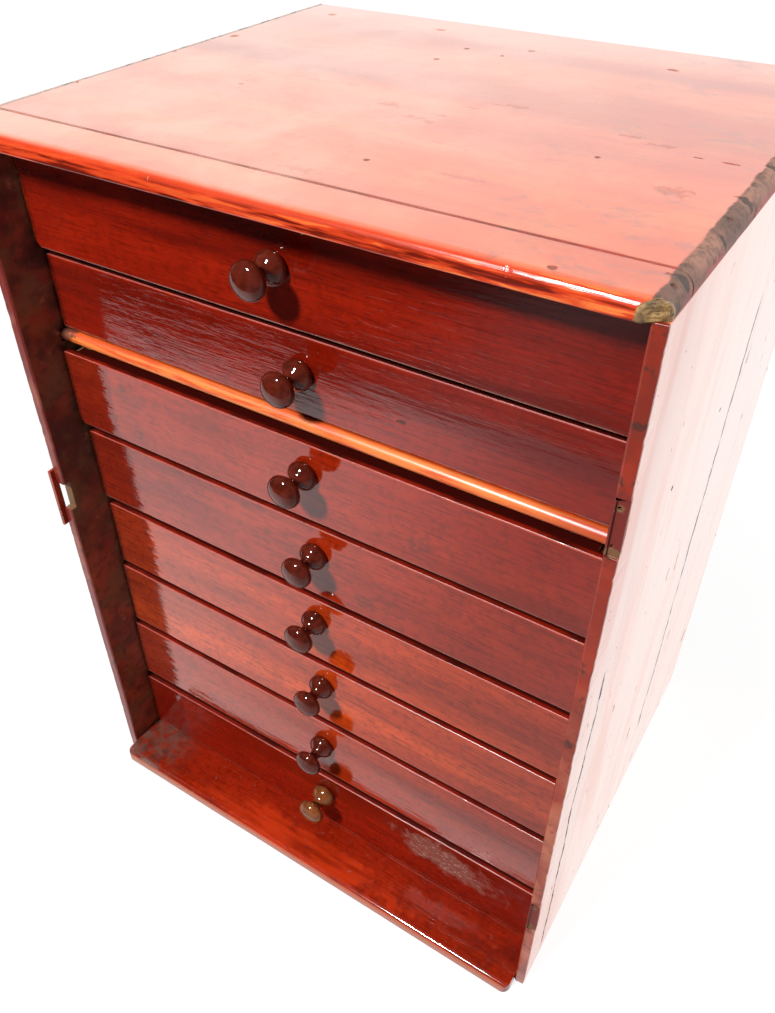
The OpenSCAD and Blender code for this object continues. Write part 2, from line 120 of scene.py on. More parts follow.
class ChestFinish(bpy.types.PropertyGroup):
    """Colours of the stain, the varnish's wear and the bare wood."""

    # Also painted shade: this deep stain darkens the ends and the backs of the top faces of the drawer
    # fronts, the lower half of the nosing and the top of the left side's inner face
    deep_stain_and_shade: colour_setting("Deep stain", "Stain where it lies thickest", (0.085, 0.003, 0.001))
    stain_red: colour_setting("Red stain", "Stain on most of the case", (0.28, 0.011, 0.002))
    stain_orange: colour_setting("Orange stain", "Stain where the wood shines through it", (0.7, 0.08, 0.009))
    # Partly painted light: the top's stain is paler than the rest of the case, partly as fading and partly
    # for the bright light on the top; it is also the pale base under the right side's painted glare
    stain_top: colour_setting("Faded stain", "Stain on the top, bleached by light", (1.0, 0.22, 0.055))
    stain_worn: colour_setting(
        "Worn stain", "Red stain that has worn thin, as on the top's nosing", (0.56, 0.038, 0.006))
    # Painted glare: this pale pink lies over the top's left, middle and back and over the right side, where
    # the varnish shows the most glare
    glare_paled: colour_setting("Bleached stain", "The palest stain, most of it on the top", (0.95, 0.5, 0.36))
    scuffed: colour_setting("Scuffed stain", "Brownish scuffs on the top", (0.3, 0.085, 0.05))
    # Partly a painted highlight: golden colour along the shelf's rounded front and in glints on the top's
    # nosing, where the lamp's highlight lies; on the shelf it is also rubbed stain
    gold_rub_and_glint: colour_setting(
        "Golden stain", "Rubbed stain on the rounded fronts of the shelf and the top", (0.82, 0.22, 0.045))
    inner_brown: colour_setting(
        "Inner brown", "Thin old stain on the inner face of the left side", (0.4, 0.07, 0.025))
    rubbed: colour_setting("Rubbed edge", "Edges that are rubbed almost bare", (0.6, 0.19, 0.1))
    raw_wood: colour_setting("Raw wood", "Freshly broken wood", (0.42, 0.24, 0.07))
    bare_wood: colour_setting("Bare wood", "Unstained wood of the drawer boxes", (0.5, 0.3, 0.15))
    worn_end: colour_setting("Worn end", "Grey-brown right end of the top", (0.25, 0.125, 0.085))
    lock_stain: colour_setting("Lock stain", "Olive-brown wood round the lock notch", (0.16, 0.085, 0.03))
    frosted: colour_setting(
        "Frosted varnish", "Pale crazed varnish on the lowest drawer", (0.32, 0.18, 0.14))
    dusty_grime: colour_setting(
        "Dusty grime", "Old dirt and dust in the left corner of the bottom board", (0.11, 0.052, 0.036))
    grime: colour_setting("Grime", "Dirt in the corners and in the dents", (0.028, 0.013, 0.008))
    pale_end: colour_setting("Pale end", "The left end of the top, rubbed pale", (0.5, 0.36, 0.28))
    dust: colour_setting("Dust", "Pale dust on the drawers and the bottom board", (0.22, 0.13, 0.1))
    knob_dark: colour_setting("Knob stain", "Stain of the turned knobs", (0.095, 0.011, 0.005))
    knob_amber: colour_setting("Lowest knob", "Paler stain of the lowest knob", (0.22, 0.062, 0.016))
    varnish_roughness: bpy.props.FloatProperty(
        name="Varnish roughness", description="Roughness of the clear varnish",
        default=0.08, min=0.0, max=1.0, subtype="FACTOR")


class ChestStudio(bpy.types.PropertyGroup):
    """Camera, lamps and floor."""

    camera_place: place_setting("Camera place", "Where the camera stands", (0.2388, -0.423, 0.6364))
    camera_turn: bpy.props.FloatVectorProperty(
        name="Camera turn", description="Pitch, roll and heading of the camera",
        default=tuple(math.radians(a) for a in (50.951, 0.263, 32.483)),
        subtype="EULER", unit="ROTATION", size=3)
    lens: bpy.props.FloatProperty(
        name="Lens", description="Focal length in millimetres on a 36 mm sensor", default=32.12, min=10)
    shift: bpy.props.FloatVectorProperty(
        name="Shift", description="Shift of the frame across and up, as shares of its longer side",
        default=(0.0095, -0.0159), size=2)
    key_place: place_setting(
        "Key lamp place", "Where the lamp in front of the chest stands", (-0.344, -1.722, 1.886))
    key_size: length_setting("Key lamp size", "Width of the lamp in front of the chest", 240, 50)
    key_power: power_setting("Key lamp power", "Power of the lamp in front of the chest", 78.0)
    back_place: place_setting(
        "Back lamp place", "Where the wide lamp behind the chest stands", (2.0, 1.4, 1.4))
    back_size: length_setting("Back lamp size", "Width of the lamp behind the chest", 1600, 50)
    back_power: power_setting("Back lamp power", "Power of the wide lamp behind the chest", 85.0)
    sky: bpy.props.FloatProperty(
        name="Sky", description="Strength of the even light from all round", default=0.08, min=0.0)
    room: bpy.props.FloatProperty(
        name="Room", description="How bright the room in front of the chest looks in the varnish",
        default=0.06, min=0.0)
    floor_colour: colour_setting("Floor", "Colour of the floor", (0.35, 0.35, 0.35))
    floor_seen: colour_setting("Floor's shadow", "How far the camera sees shadows on the floor", (0.16,) * 3)
    floor_glow: colour_setting(
        "Floor's white", "What lifts the floor to white for the camera and in the varnish", (0.86,) * 3)
    red_bounce: colour_setting(
        "Red bounce", "How the floor right beside the chest looks in its side's varnish", (0.97, 0.87, 0.84))
    sheet_reach: length_setting(
        "Sheet reach", "How far in front of the chest's middle the pale sheet under it ends", 684, 300)


def shape():
    return bpy.context.scene.chest_shape


def finish():
    return bpy.context.scene.chest_finish


def studio():
    return bpy.context.scene.chest_studio


# Writing node trees

class Graph:
    """Writes a node tree as nested calls: each call adds one node and hands back an output."""

    def __init__(self, tree):
        self.tree = tree

    def fill(self, made, inputs):
        """Links or sets the inputs of a node by name."""
        for name, value in inputs.items():
            if isinstance(value, bpy.types.NodeSocket):
                self.tree.links.new(value, made.inputs[name])
            else:
                made.inputs[name].default_value = value
        return made

    def node(self, kind, inputs=None, **settings):
        made = self.tree.nodes.new(kind)
        for name, value in settings.items():
            setattr(made, name, value)
        return self.fill(made, inputs or {})

    def math(self, operation, *values):
        return self.node("ShaderNodeMath", dict(enumerate(values)), operation=operation).outputs[0]

    def times(self, first, *others):
        """The product of two or more values."""
        for other in others:
            first = self.math("MULTIPLY", first, other)
        return first

    def vector(self, operation, *values):
        made = self.node("ShaderNodeVectorMath", dict(enumerate(values)), operation=operation)
        return made.outputs["Value" if operation == "LENGTH" else "Vector"]

    def split(self, vector):
        return self.node("ShaderNodeSeparateXYZ", {0: vector}).outputs

    def join(self, x, y, z):
        return self.node("ShaderNodeCombineXYZ", {0: x, 1: y, 2: z}).outputs[0]

    def noise(self, vector, scale, detail, seed, distortion=0.0, roughness=0.5):
        inputs = {"Vector": vector, "W": seed, "Scale": scale, "Detail": detail,
                  "Roughness": roughness, "Distortion": distortion}
        return self.node("ShaderNodeTexNoise", inputs, noise_dimensions="4D").outputs["Fac"]

    def ramp(self, value, low, high, start=0.0, end=1.0):
        """Smoothly takes low to start and high to end, and holds both beyond."""
        inputs = {"Value": value, "From Min": low, "From Max": high, "To Min": start, "To Max": end}
        return self.node("ShaderNodeMapRange", inputs, interpolation_type="SMOOTHSTEP").outputs[0]

    def between(self, share, start, end):
        """Start where the share is 0 and end where it is 1."""
        return self.node("ShaderNodeMapRange", {"Value": share, "To Min": start, "To Max": end}).outputs[0]

    def blend(self, mask, first, second):
        """The second colour over the first where the mask is high."""
        inputs = {0: mask, 6: rgba(first), 7: rgba(second)}
        return self.node("ShaderNodeMix", inputs, data_type="RGBA").outputs[2]


def rgba(colour):
    """A colour as four numbers, or the socket that carries it."""
    return colour if isinstance(colour, bpy.types.NodeSocket) else (*colour, 1.0)


def scaled(values, share):
    """A colour made darker or lighter, or lengths in another unit."""
    return [value * share for value in values]


class Group(Graph):
    """A node group. Each input has a kind of socket and a default, and each output a kind."""

    def __init__(self, name, kind, inputs, outputs):
        super().__init__(bpy.data.node_groups.new(name, kind))
        for label, (socket, default) in inputs.items():
            made = self.tree.interface.new_socket(label, in_out="INPUT", socket_type=f"NodeSocket{socket}")
            if default is not None:
                made.default_value = default
        for label, socket in outputs.items():
            self.tree.interface.new_socket(label, in_out="OUTPUT", socket_type=f"NodeSocket{socket}")
        self.given = self.node("NodeGroupInput").outputs
        self.result = self.node("NodeGroupOutput")

    def __getitem__(self, label):
        """One of the inputs."""
        return self.given[label]

    def hand_out(self, **sockets):
        """Links the outputs by their names."""
        self.fill(self.result, sockets)


class Effect(Group):
    """A shader group that takes a place, settings of its own and a seed, and hands out numbers."""

    def __init__(self, name, outputs, settings):
        inputs = {"Vector": ("Vector", None)}
        for label, default in {**settings, "Seed": 0.0}.items():
            inputs[label] = ("Float" if isinstance(default, float) else "Vector", default)
        super().__init__(name, "ShaderNodeTree", inputs, dict.fromkeys(outputs, "Float"))
        self.place = self["Vector"]
        self.seed = self["Seed"]


# Effects that several finishes share

def make_grain_group():
    """Softwood grain: broad streaks, contour figure, fine fibres and short pores."""
    grain = Effect("Grain", ("Streaks", "Figure", "Fibres", "Pores"), {
        "Stretch": ALONG["X"], "Streak Scale": 50.0, "Figure Scale": 9.0, "Figure Lines": 70.0})
    along = grain.vector("MULTIPLY", grain.place, grain["Stretch"])
    swell = grain.noise(along, grain["Figure Scale"], 2.0, grain.seed, 0.2)
    lines = grain.math("SINE", grain.times(swell, grain["Figure Lines"]))
    specks = grain.noise(grain.vector("MULTIPLY", along, (3, 1, 1)), 1500.0, 1.0, grain.seed)
    grain.hand_out(
        Streaks=grain.noise(along, grain["Streak Scale"], 4.0, grain.seed, 0.3),
        Figure=grain.math("MULTIPLY_ADD", lines, 0.5, 0.5),
        Fibres=grain.noise(along, 900.0, 2.0, grain.seed),
        Pores=grain.ramp(specks, 0.64, 0.72))


def make_arris_group():
    """Ragged wear of a box-shaped board. It is full at the board's edges and gone at about Width."""
    arris = Effect("Arris", ("Wear",), {
        "Centre": (0, 0, 0), "Half Size": (1, 1, 1), "Width": 2 * MM, "Raggedness": 160.0})
    from_centre = arris.vector("ABSOLUTE", arris.vector("SUBTRACT", arris.place, arris["Centre"]))
    x, y, z = arris.split(arris.vector("SUBTRACT", arris["Half Size"], from_centre))
    nearest = arris.math("MINIMUM", x, y)
    farther = arris.math("MINIMUM", arris.math("MAXIMUM", x, y), z)
    edge = arris.math("MAXIMUM", nearest, farther)
    rag = arris.noise(arris.place, arris["Raggedness"], 5.0, arris.seed, 0.0, 0.65)
    reach = arris.times(arris["Width"], arris.ramp(rag, 0.36, 0.68, 0.05, 2.0))
    arris.hand_out(Wear=arris.ramp(arris.math("DIVIDE", edge, reach), 0.35, 1.0, 1.0, 0.0))


def make_blotch_group():
    """Uneven patches of stain, dirt or dust."""
    blotch = Effect("Blotches", ("Mask",), {"Scale": 20.0, "Low": 0.5, "High": 0.65})
    cloud = blotch.noise(blotch.place, blotch["Scale"], 6.0, blotch.seed, 0.4, 0.6)
    blotch.hand_out(Mask=blotch.ramp(cloud, blotch["Low"], blotch["High"]))


def make_spot_group():
    """One ragged spot, stretched as its reach along X, Y and Z says."""
    spot = Effect("Spot", ("Mask",), {
        "Centre": (0, 0, 0), "Reach": (0.01, 0.01, 0.01), "Raggedness": 0.6, "Scale": 150.0})
    away = spot.vector("DIVIDE", spot.vector("SUBTRACT", spot.place, spot["Centre"]), spot["Reach"])
    rag = spot.noise(spot.place, spot["Scale"], 4.0, spot.seed, 0.0, 0.6)
    push = spot.times(spot.math("SUBTRACT", rag, 0.5), spot.times(spot["Raggedness"], 4.0))
    far = spot.math("ADD", spot.vector("LENGTH", away), push)
    spot.hand_out(Mask=spot.ramp(far, 0.6, 1.0, 1.0, 0.0))


def make_crack_group():
    """A thin wandering crack that runs along Z at one place across Y, and fades at both ends."""
    crack = Effect("Crack", ("Mask", "Halo"), {
        "Y": 0.0, "Wander": 6 * MM, "Width": 0.5 * MM, "Low Z": 0.0, "High Z": 0.5})
    fade = 20 * MM
    _, y, z = crack.split(crack.place)
    bend = crack.noise(crack.join(0.0, 0.0, z), 9.0, 5.0, crack.seed, 0.0, 0.6)
    shift = crack.times(crack.math("SUBTRACT", bend, 0.5), crack.times(crack["Wander"], 4.0))
    off = crack.math("ABSOLUTE", crack.math("SUBTRACT", crack.math("SUBTRACT", y, crack["Y"]), shift))
    above = crack.ramp(z, crack["Low Z"], crack.math("ADD", crack["Low Z"], fade))
    below = crack.ramp(z, crack.math("SUBTRACT", crack["High Z"], fade), crack["High Z"], 1.0, 0.0)
    inside = crack.times(above, below)
    ragged = crack.noise(crack.place, 120.0, 3.0, crack.seed)
    width = crack.times(crack["Width"], crack.ramp(ragged, 0.3, 0.7, 0.3, 1.8))
    share = crack.math("DIVIDE", off, width)
    crack.hand_out(
        Mask=crack.times(crack.ramp(share, 0.5, 1.0, 1.0, 0.0), inside),
        Halo=crack.times(crack.ramp(share, 0.0, 4.5, 1.0, 0.0), inside))


def make_pit_group():
    """Scattered round pits, such as worm holes. Share is how many of the cells hold one."""
    pit = Effect("Pits", ("Mask",), {"Cells": 60.0, "Share": 0.2, "Radius": 0.6 * MM})
    shifted = pit.vector("ADD", pit.place, pit.join(pit.seed, 0.0, 0.0))
    cells = pit.node("ShaderNodeTexVoronoi", {"Vector": shifted, "Scale": pit["Cells"]}).outputs
    reach = pit.times(pit["Radius"], pit["Cells"], 1.4)
    spot = pit.ramp(pit.math("DIVIDE", cells["Distance"], reach), 0.6, 1.0, 1.0, 0.0)
    red = pit.node("ShaderNodeSeparateColor", {"Color": cells["Color"]}).outputs[0]
    pit.hand_out(Mask=pit.times(spot, pit.math("LESS_THAN", red, pit["Share"])))


def make_relief_group():
    """Height of the varnished surface: broad ripples, raised grain and short brush marks."""
    relief = Effect("Relief", ("Height",), {
        "Stretch": ALONG["X"], "Ripple": 1.0, "Ripple Scale": 35.0, "Ridges": 0.16, "Ridge Scale": 420.0,
        "Brush Marks": 0.05, "Brush Scale": 300.0})
    half_along = relief.vector("POWER", relief["Stretch"], (0.5, 0.5, 0.5))
    short = relief.vector("MULTIPLY", relief.place, half_along)
    long = relief.vector("MULTIPLY", relief.place, relief["Stretch"])
    ridges = relief.noise(long, relief["Ridge Scale"], 2.0, relief.seed)
    brush = relief.noise(short, relief["Brush Scale"], 3.0, relief.seed)
    height = relief.times(relief.noise(short, relief["Ripple Scale"], 2.0, relief.seed), relief["Ripple"])
    height = relief.math("MULTIPLY_ADD", ridges, relief["Ridges"], height)
    relief.hand_out(Height=relief.math("MULTIPLY_ADD", brush, relief["Brush Marks"], height))


# Finishes

class Finish(Graph):
    """One material: its base colour, roughness, gloss coat and height are built up layer by layer."""

    def __init__(self, name, roughness, ior=1.5, coat=0.0, coat_ior=1.5):
        self.material = bpy.data.materials.new(name)
        self.material.use_nodes = True
        super().__init__(self.material.node_tree)
        self.shader = self.tree.nodes["Principled BSDF"]
        self.fill(self.shader, {"IOR": ior, "Coat Roughness": 0.06, "Coat IOR": coat_ior})
        self.place = self.node("ShaderNodeTexCoord").outputs["Object"]
        self.x, self.y, self.z = self.split(self.place)
        self.colour = None
        self.roughness = roughness
        self.coat = coat
        self.height = None

    def stretched(self, x, y, z):
        """The place, shrunk along the axes that a pattern is drawn out on."""
        return self.vector("MULTIPLY", self.place, (x, y, z))

    def cover(self, mask, colour, roughness=None, dulls=False):
        """Lays a colour over what is there, with its own roughness. It may take the gloss coat away."""
        self.colour = self.blend(mask, self.colour, colour)
        if roughness is not None:
            self.roughness = self.between(mask, self.roughness, roughness)
        if dulls and (isinstance(self.coat, bpy.types.NodeSocket) or self.coat > 0):
            self.coat = self.between(mask, self.coat, 0.0)

    def mottle(self, mask, patches, colour, roughness=None):
        """Lays a colour over uneven patches of a mask."""
        self.cover(self.times(mask, self.patches(*patches)), colour, roughness)

    def effect(self, name, seed, settings):
        """The outputs of one of the shared effects."""
        made = self.node("ShaderNodeGroup", node_tree=bpy.data.node_groups[name])
        return self.fill(made, {"Vector": self.place, "Seed": seed, **settings}).outputs

    def grain(self, along, seed, streak_scale=50.0):
        """The grain of a board that runs along an axis."""
        return self.effect("Grain", seed, {"Stretch": ALONG[along], "Streak Scale": streak_scale})

    def patches(self, scale, low, high, seed, amount=1.0):
        """A mask of uneven patches. They cover what lies above low and are full at high."""
        blotches = self.effect("Blotches", seed, {"Scale": scale, "Low": low, "High": high})
        return self.times(blotches["Mask"], amount)

    def spot(self, centre, reach, seed, ragged, scale=150.0):
        """A mask of one ragged spot. Its centre and reach are in millimetres."""
        settings = {"Centre": scaled(centre, MM), "Reach": scaled(reach, MM),
                    "Raggedness": ragged, "Scale": scale}
        return self.effect("Spot", seed, settings)["Mask"]

    def dent(self, mask, depth, share=0.9):
        """A dull, dark dent."""
        self.cover(self.times(mask, share), finish().grime, 0.9, dulls=True)
        self.raise_by(mask, -depth)

    def raise_by(self, value, amount):
        """Adds to the surface's height."""
        added = self.times(value, amount)
        self.height = added if self.height is None else self.math("ADD", self.height, added)

    def done(self):
        if self.height is not None:
            inputs = {"Strength": 1.0, "Distance": 1.0, "Height": self.height}
            self.fill(self.shader, {"Normal": self.node("ShaderNodeBump", inputs).outputs["Normal"]})
        self.fill(self.shader, {"Base Color": self.colour, "Roughness": self.roughness,
                                "Coat Weight": self.coat})
        return self.material


def varnished(name, node, grain="X", *, seed, tone, glow, depth=1.0, ior=1.65, coat=0.0, coat_ior=1.5,
              relief=0.35 * MM, pale=None, extra=None):
    """Red-stained, glossy varnished softwood for one board.

    tone is how far the red stain hides the deep one, glow how far the wood shines through it, and
    depth how strongly the grain darkens it.
    """
    look = finish()
    low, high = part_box(node)
    wood = Finish(name, look.varnish_roughness, ior, coat, coat_ior)
    figure = wood.grain(grain, seed)
    stain = wood.ramp(figure["Streaks"], 0.32, 0.66, tone, 1.0)
    wood.colour = wood.blend(stain, look.deep_stain_and_shade, look.stain_red)
    broad = wood.grain(grain, seed + 5, 22.0)
    wood.cover(wood.ramp(broad["Streaks"], 0.3, 0.68, glow * 0.35, glow), pale or look.stain_orange)
    for mask, colour in (
            (wood.ramp(figure["Streaks"], 0.52, 0.3, 0.0, 0.45 * depth), look.deep_stain_and_shade),
            (wood.times(figure["Figure"], 0.1 * depth), look.deep_stain_and_shade),
            (wood.ramp(figure["Fibres"], 0.45, 0.7, 0.0, 0.55 * depth), look.deep_stain_and_shade),
            (wood.times(figure["Pores"], 0.5 * depth), look.grime),
            (wood.patches(14.0, 0.48, 0.75, seed + 3, 0.35 * depth), look.deep_stain_and_shade),
            (wood.patches(230.0, 0.45, 0.7, seed + 4, 0.4 * depth), look.deep_stain_and_shade)):
        wood.cover(mask, colour)
    edge = wood.effect("Arris", seed, {
        "Centre": (low + high) / 2, "Half Size": (high - low) / 2, "Width": 0.7 * MM})
    wood.cover(wood.times(edge["Wear"], 0.5), look.stain_orange, 0.2)
    wood.raise_by(wood.effect("Relief", seed, {"Stretch": ALONG[grain]})["Height"], relief)
    if extra:
        extra(wood)
    return wood.done()


def bare(name, grain, seed, darkness):
    """Plain unvarnished softwood, darkened by age."""
    look = finish()
    wood = Finish(name, 0.62)
    figure = wood.grain(grain, seed)
    wood.colour = wood.blend(wood.ramp(figure["Streaks"], 0.3, 0.7), look.bare_wood, look.raw_wood)
    wood.cover(wood.times(figure["Figure"], 0.35), (0.3, 0.16, 0.07))
    wood.cover(wood.times(figure["Pores"], 0.4), (0.16, 0.08, 0.035))
    wood.cover(wood.patches(16.0, 0.4, 0.8, seed, darkness), look.grime, 0.75)
    wood.raise_by(figure["Fibres"], 0.12 * MM)
    wood.raise_by(figure["Figure"], 0.03 * MM)
    return wood.done()


def turned(name, stain, seed):
    """Dark glossy varnish on a turned knob, with paler and dirty patches."""
    wood = Finish(name, 0.07, 1.55)
    figure = wood.grain("Y", seed, 260.0)
    wood.colour = wood.blend(wood.ramp(figure["Streaks"], 0.35, 0.7), stain, scaled(stain, 0.5))
    wood.cover(wood.patches(130.0, 0.5, 0.75, seed, 0.3), scaled(stain, 1.9), 0.12)
    wood.cover(wood.patches(400.0, 0.62, 0.7, seed + 1, 0.5), finish().grime, 0.3)
    wood.raise_by(figure["Fibres"], 0.015 * MM)
    wood.raise_by(wood.noise(wood.place, 90.0, 2.0, seed), 0.1 * MM)
    return wood.done()


def iron(name):
    """Old nail heads, brown with rust and dark with dirt."""
    metal = Finish(name, 0.55)
    rust = metal.noise(metal.place, 700.0, 4.0, 2.0)
    metal.colour = metal.blend(rust, finish().grime, (0.12, 0.05, 0.03))
    metal.raise_by(rust, 0.2 * MM)
    return metal.done()


# Shapes

# Angles between two faces. Up to the first they are run together, beyond the second the edge between
# them is rounded, and beyond the third it stays creased
FLAT, ROUNDED, CREASED = (math.radians(degrees) for degrees in (0.5, 35, 40))


def merged_copy(node):
    """A clean mesh of a solid: its loose triangles are joined and flat ones run together."""
    solid = bmesh.new()
    solid.from_mesh(frame["nodes"][node].data)
    bmesh.ops.remove_doubles(solid, verts=solid.verts, dist=1e-6)
    bmesh.ops.dissolve_limit(solid, angle_limit=FLAT, verts=solid.verts, edges=solid.edges)
    return solid


def soften(solid, radius):
    """Rounds the sharp edges."""
    if radius <= 0:
        return
    sharp = [e for e in solid.edges if len(e.link_faces) == 2 and e.calc_face_angle(0.0) > ROUNDED]
    bmesh.ops.bevel(solid, geom=sharp, offset=radius, segments=3, profile=0.5, affect="EDGES",
                    clamp_overlap=False)


def divide(solid, steps, low=None, high=None):
    """Cuts the faces that reach into a box between two corners on a grid.

    A step of 0 leaves that axis alone, and without corners the whole solid is cut.
    """
    if low is None:
        low, high = (Vector([pick(v.co[k] for v in solid.verts) for k in range(3)]) for pick in (min, max))
    for axis, step in enumerate(steps):
        if not step:
            continue
        count = max(1, int((high[axis] - low[axis]) / step))
        normal = Vector([float(k == axis) for k in range(3)])
        inside = [f for f in solid.faces if touches(f, low, high)]
        geometry = [*inside, *{e for f in inside for e in f.edges}, *{v for f in inside for v in f.verts}]
        for k in range(1, count):
            at = low.copy()
            at[axis] += (high[axis] - low[axis]) * k / count
            geometry = bmesh.ops.bisect_plane(solid, geom=geometry, plane_co=at, plane_no=normal)["geom"]


def touches(face, low, high):
    """Whether a face reaches into the box between two corners."""
    for k in range(3):
        places = [v.co[k] for v in face.verts]
        if max(places) < low[k] or min(places) > high[k]:
            return False
    return True


def new_object(name, mesh):
    made = bpy.data.objects.new(name, mesh)
    bpy.context.scene.collection.objects.link(made)
    return made


def grow(made, tree_name, values):
    """Runs a node tree on an object and keeps the result as its plain mesh."""
    tree = bpy.data.node_groups[tree_name]
    modifier = made.modifiers.new(tree_name, "NODES")
    modifier.node_group = tree
    for item in tree.interface.items_tree:
        if item.item_type == "SOCKET" and item.in_out == "INPUT" and item.name in values:
            modifier[item.identifier] = values[item.name]
    evaluated = made.evaluated_get(bpy.context.evaluated_depsgraph_get())
    made.data = bpy.data.meshes.new_from_object(evaluated)
    made.modifiers.remove(modifier)


def wander_and_paint(graph, geometry, scale, amount):
    """The end of both shaping trees: uneven points, smooth faces, real geometry and its material."""
    position = graph.node("GeometryNodeInputPosition").outputs[0]
    inputs = {"Vector": position, "W": graph["Seed"], "Scale": scale, "Detail": 1.0}
    cloud = graph.node("ShaderNodeTexNoise", inputs, noise_dimensions="4D").outputs["Color"]
    reach = graph.times(amount, 2.0)
    offset = graph.vector("MULTIPLY", graph.vector("SUBTRACT", cloud, (0.5, 0.5, 0.5)),
                          graph.join(reach, reach, reach))
    moved = graph.node("GeometryNodeSetPosition", {"Geometry": geometry, "Offset": offset})
    smooth = graph.node("GeometryNodeSetShadeSmooth", {"Geometry": moved.outputs[0], "Shade Smooth": True})
    whole = graph.node("GeometryNodeRealizeInstances", {"Geometry": smooth.outputs[0]})
    inputs = {"Geometry": whole.outputs[0], "Material": graph["Material"]}
    graph.hand_out(Geometry=graph.node("GeometryNodeSetMaterial", inputs).outputs[0])


def make_board_tree():
    """An old board, whose faces wander a little."""
    graph = Group("Old board", "GeometryNodeTree", {
        "Geometry": ("Geometry", None), "Sway": ("Float", 0.25 * MM), "Sway Scale": ("Float", 14.0),
        "Seed": ("Float", 0.0), "Material": ("Material", None)}, {"Geometry": "Geometry"})
    wander_and_paint(graph, graph["Geometry"], graph["Sway Scale"], graph["Sway"])


def make_turning_tree():
    """Spins a profile, given as a line of radius along X and height along Z, into a closed knob."""
    graph = Group("Turning", "GeometryNodeTree", {
        "Profile": ("Geometry", None), "Steps Round": ("Int", 64), "Steps Along": ("Int", 60),
        "Unevenness": ("Float", 0.1 * MM), "Seed": ("Float", 0.0), "Material": ("Material", None)},
        {"Geometry": "Geometry"})
    columns = graph.math("ADD", graph["Steps Round"], 1.0)
    grid = graph.node("GeometryNodeMeshGrid", {"Size X": 1.0, "Size Y": 1.0, "Vertices X": columns,
                                               "Vertices Y": graph["Steps Along"]})
    u, v, _ = graph.split(graph.node("GeometryNodeInputPosition").outputs[0])
    line = graph.node("GeometryNodeMeshToCurve", {"Mesh": graph["Profile"]})
    inputs = {"Curves": line.outputs[0], "Factor": graph.math("ADD", v, 0.5)}
    sample = graph.node("GeometryNodeSampleCurve", inputs, mode="FACTOR", use_all_curves=True)
    radius, _, height = graph.split(sample.outputs["Position"])
    angle = graph.times(u, 2 * math.pi)
    x = graph.times(radius, graph.math("COSINE", angle))
    y = graph.times(radius, graph.math("SINE", angle))
    inputs = {"Geometry": grid.outputs["Mesh"], "Position": graph.join(x, y, height)}
    spun = graph.node("GeometryNodeSetPosition", inputs)
    inputs = {"Geometry": spun.outputs[0], "Distance": 0.01 * MM}
    closed = graph.node("GeometryNodeMergeByDistance", inputs)
    wander_and_paint(graph, closed.outputs[0], 80.0, graph["Unevenness"])


def board(node, body, material, arris=None, sway=None, seed=0.0, fine=(), reshape=None):
    """A worn board in place of a solid, on the same body.

    fine lists places to divide further, as steps, lowest corner and highest corner. reshape moves a point.
    """
    sizes = shape()
    solid = merged_copy(node)
    soften(solid, sizes.arris_radius if arris is None else arris)
    divide(solid, [sizes.grid_step] * 3)
    for steps, low, high in fine:
        divide(solid, steps, Vector(low), Vector(high))
    if reshape:
        for vertex in solid.verts:
            vertex.co = reshape(vertex.co)
    for edge in solid.edges:
        edge.smooth = edge.calc_face_angle(0.0) < CREASED
    name = f"worn_{node}"
    mesh = bpy.data.meshes.new(name)
    solid.to_mesh(mesh)
    solid.free()
    made = new_object(name, mesh)
    sway = sizes.sway if sway is None else sway
    grow(made, "Old board", {"Sway": sway, "Seed": seed, "Material": material})
    normals = made.modifiers.new("Weighted normals", "WEIGHTED_NORMAL")
    normals.keep_sharp = True
    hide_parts(node)
    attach(made, body)


def rough(*place):
    """An uneven height between 0 and 1 at a place."""
    return 0.5 + 0.5 * noise.noise(Vector(place))


def share_of(value, start, end):
    """How far a value has come from start to end, held between 0 and 1."""
    return min(1.0, max(0.0, (value - start) / (end - start)))


def chipped_arris(place):
    """Knocks small dents into the front corners of a side, deeper ones on the right."""
    reach = 3 * MM
    to_corner = min(HALF_W - abs(place.x), 6 * MM) + (place.y - FRONT_Y)
    if to_corner > reach:
        return place
    hit = rough(place.z * 170, place.x * 9, 0.0) + 0.4 * rough(place.z * 520, 4.0, 0.0)
    push = shape().chip_depth * max(0.0, hit - 0.74) * 3 * (1 - to_corner / reach)
    if place.x < 0:
        push *= 0.4
    return place + Vector((-math.copysign(push, place.x), push, 0.0))


def splintered_corner(place):
    """Tears splinters into the broken front right corner of the top, and dents its right end."""
    moved = place.copy()
    inward = share_of(place.x, BROKEN_X, BROKEN_X + 3 * MM)
    forward = share_of(place.y, FRONT_Y + 3.5 * MM, FRONT_Y + 1 * MM)
    tear = inward * forward * shape().splinter_depth
    moved.x -= tear * rough(place.x * 60, place.y * 240, place.z * 900)
    moved.y += 0.7 * tear * rough(place.x * 110, place.y * 90, place.z * 700 + 9)
    return dented_end(moved)


def dented_end(place):
    """Dents the worn right end of the top."""
    near = share_of(place.x, WORN_END_X, WORN_END_X + 4 * MM)
    hit = max(0.0, rough(place.x * 60, place.y * 85, place.z * 80) - 0.56) * 3
    push = near * hit * shape().chip_depth
    return place - Vector((push, 0.0, 0.6 * push))


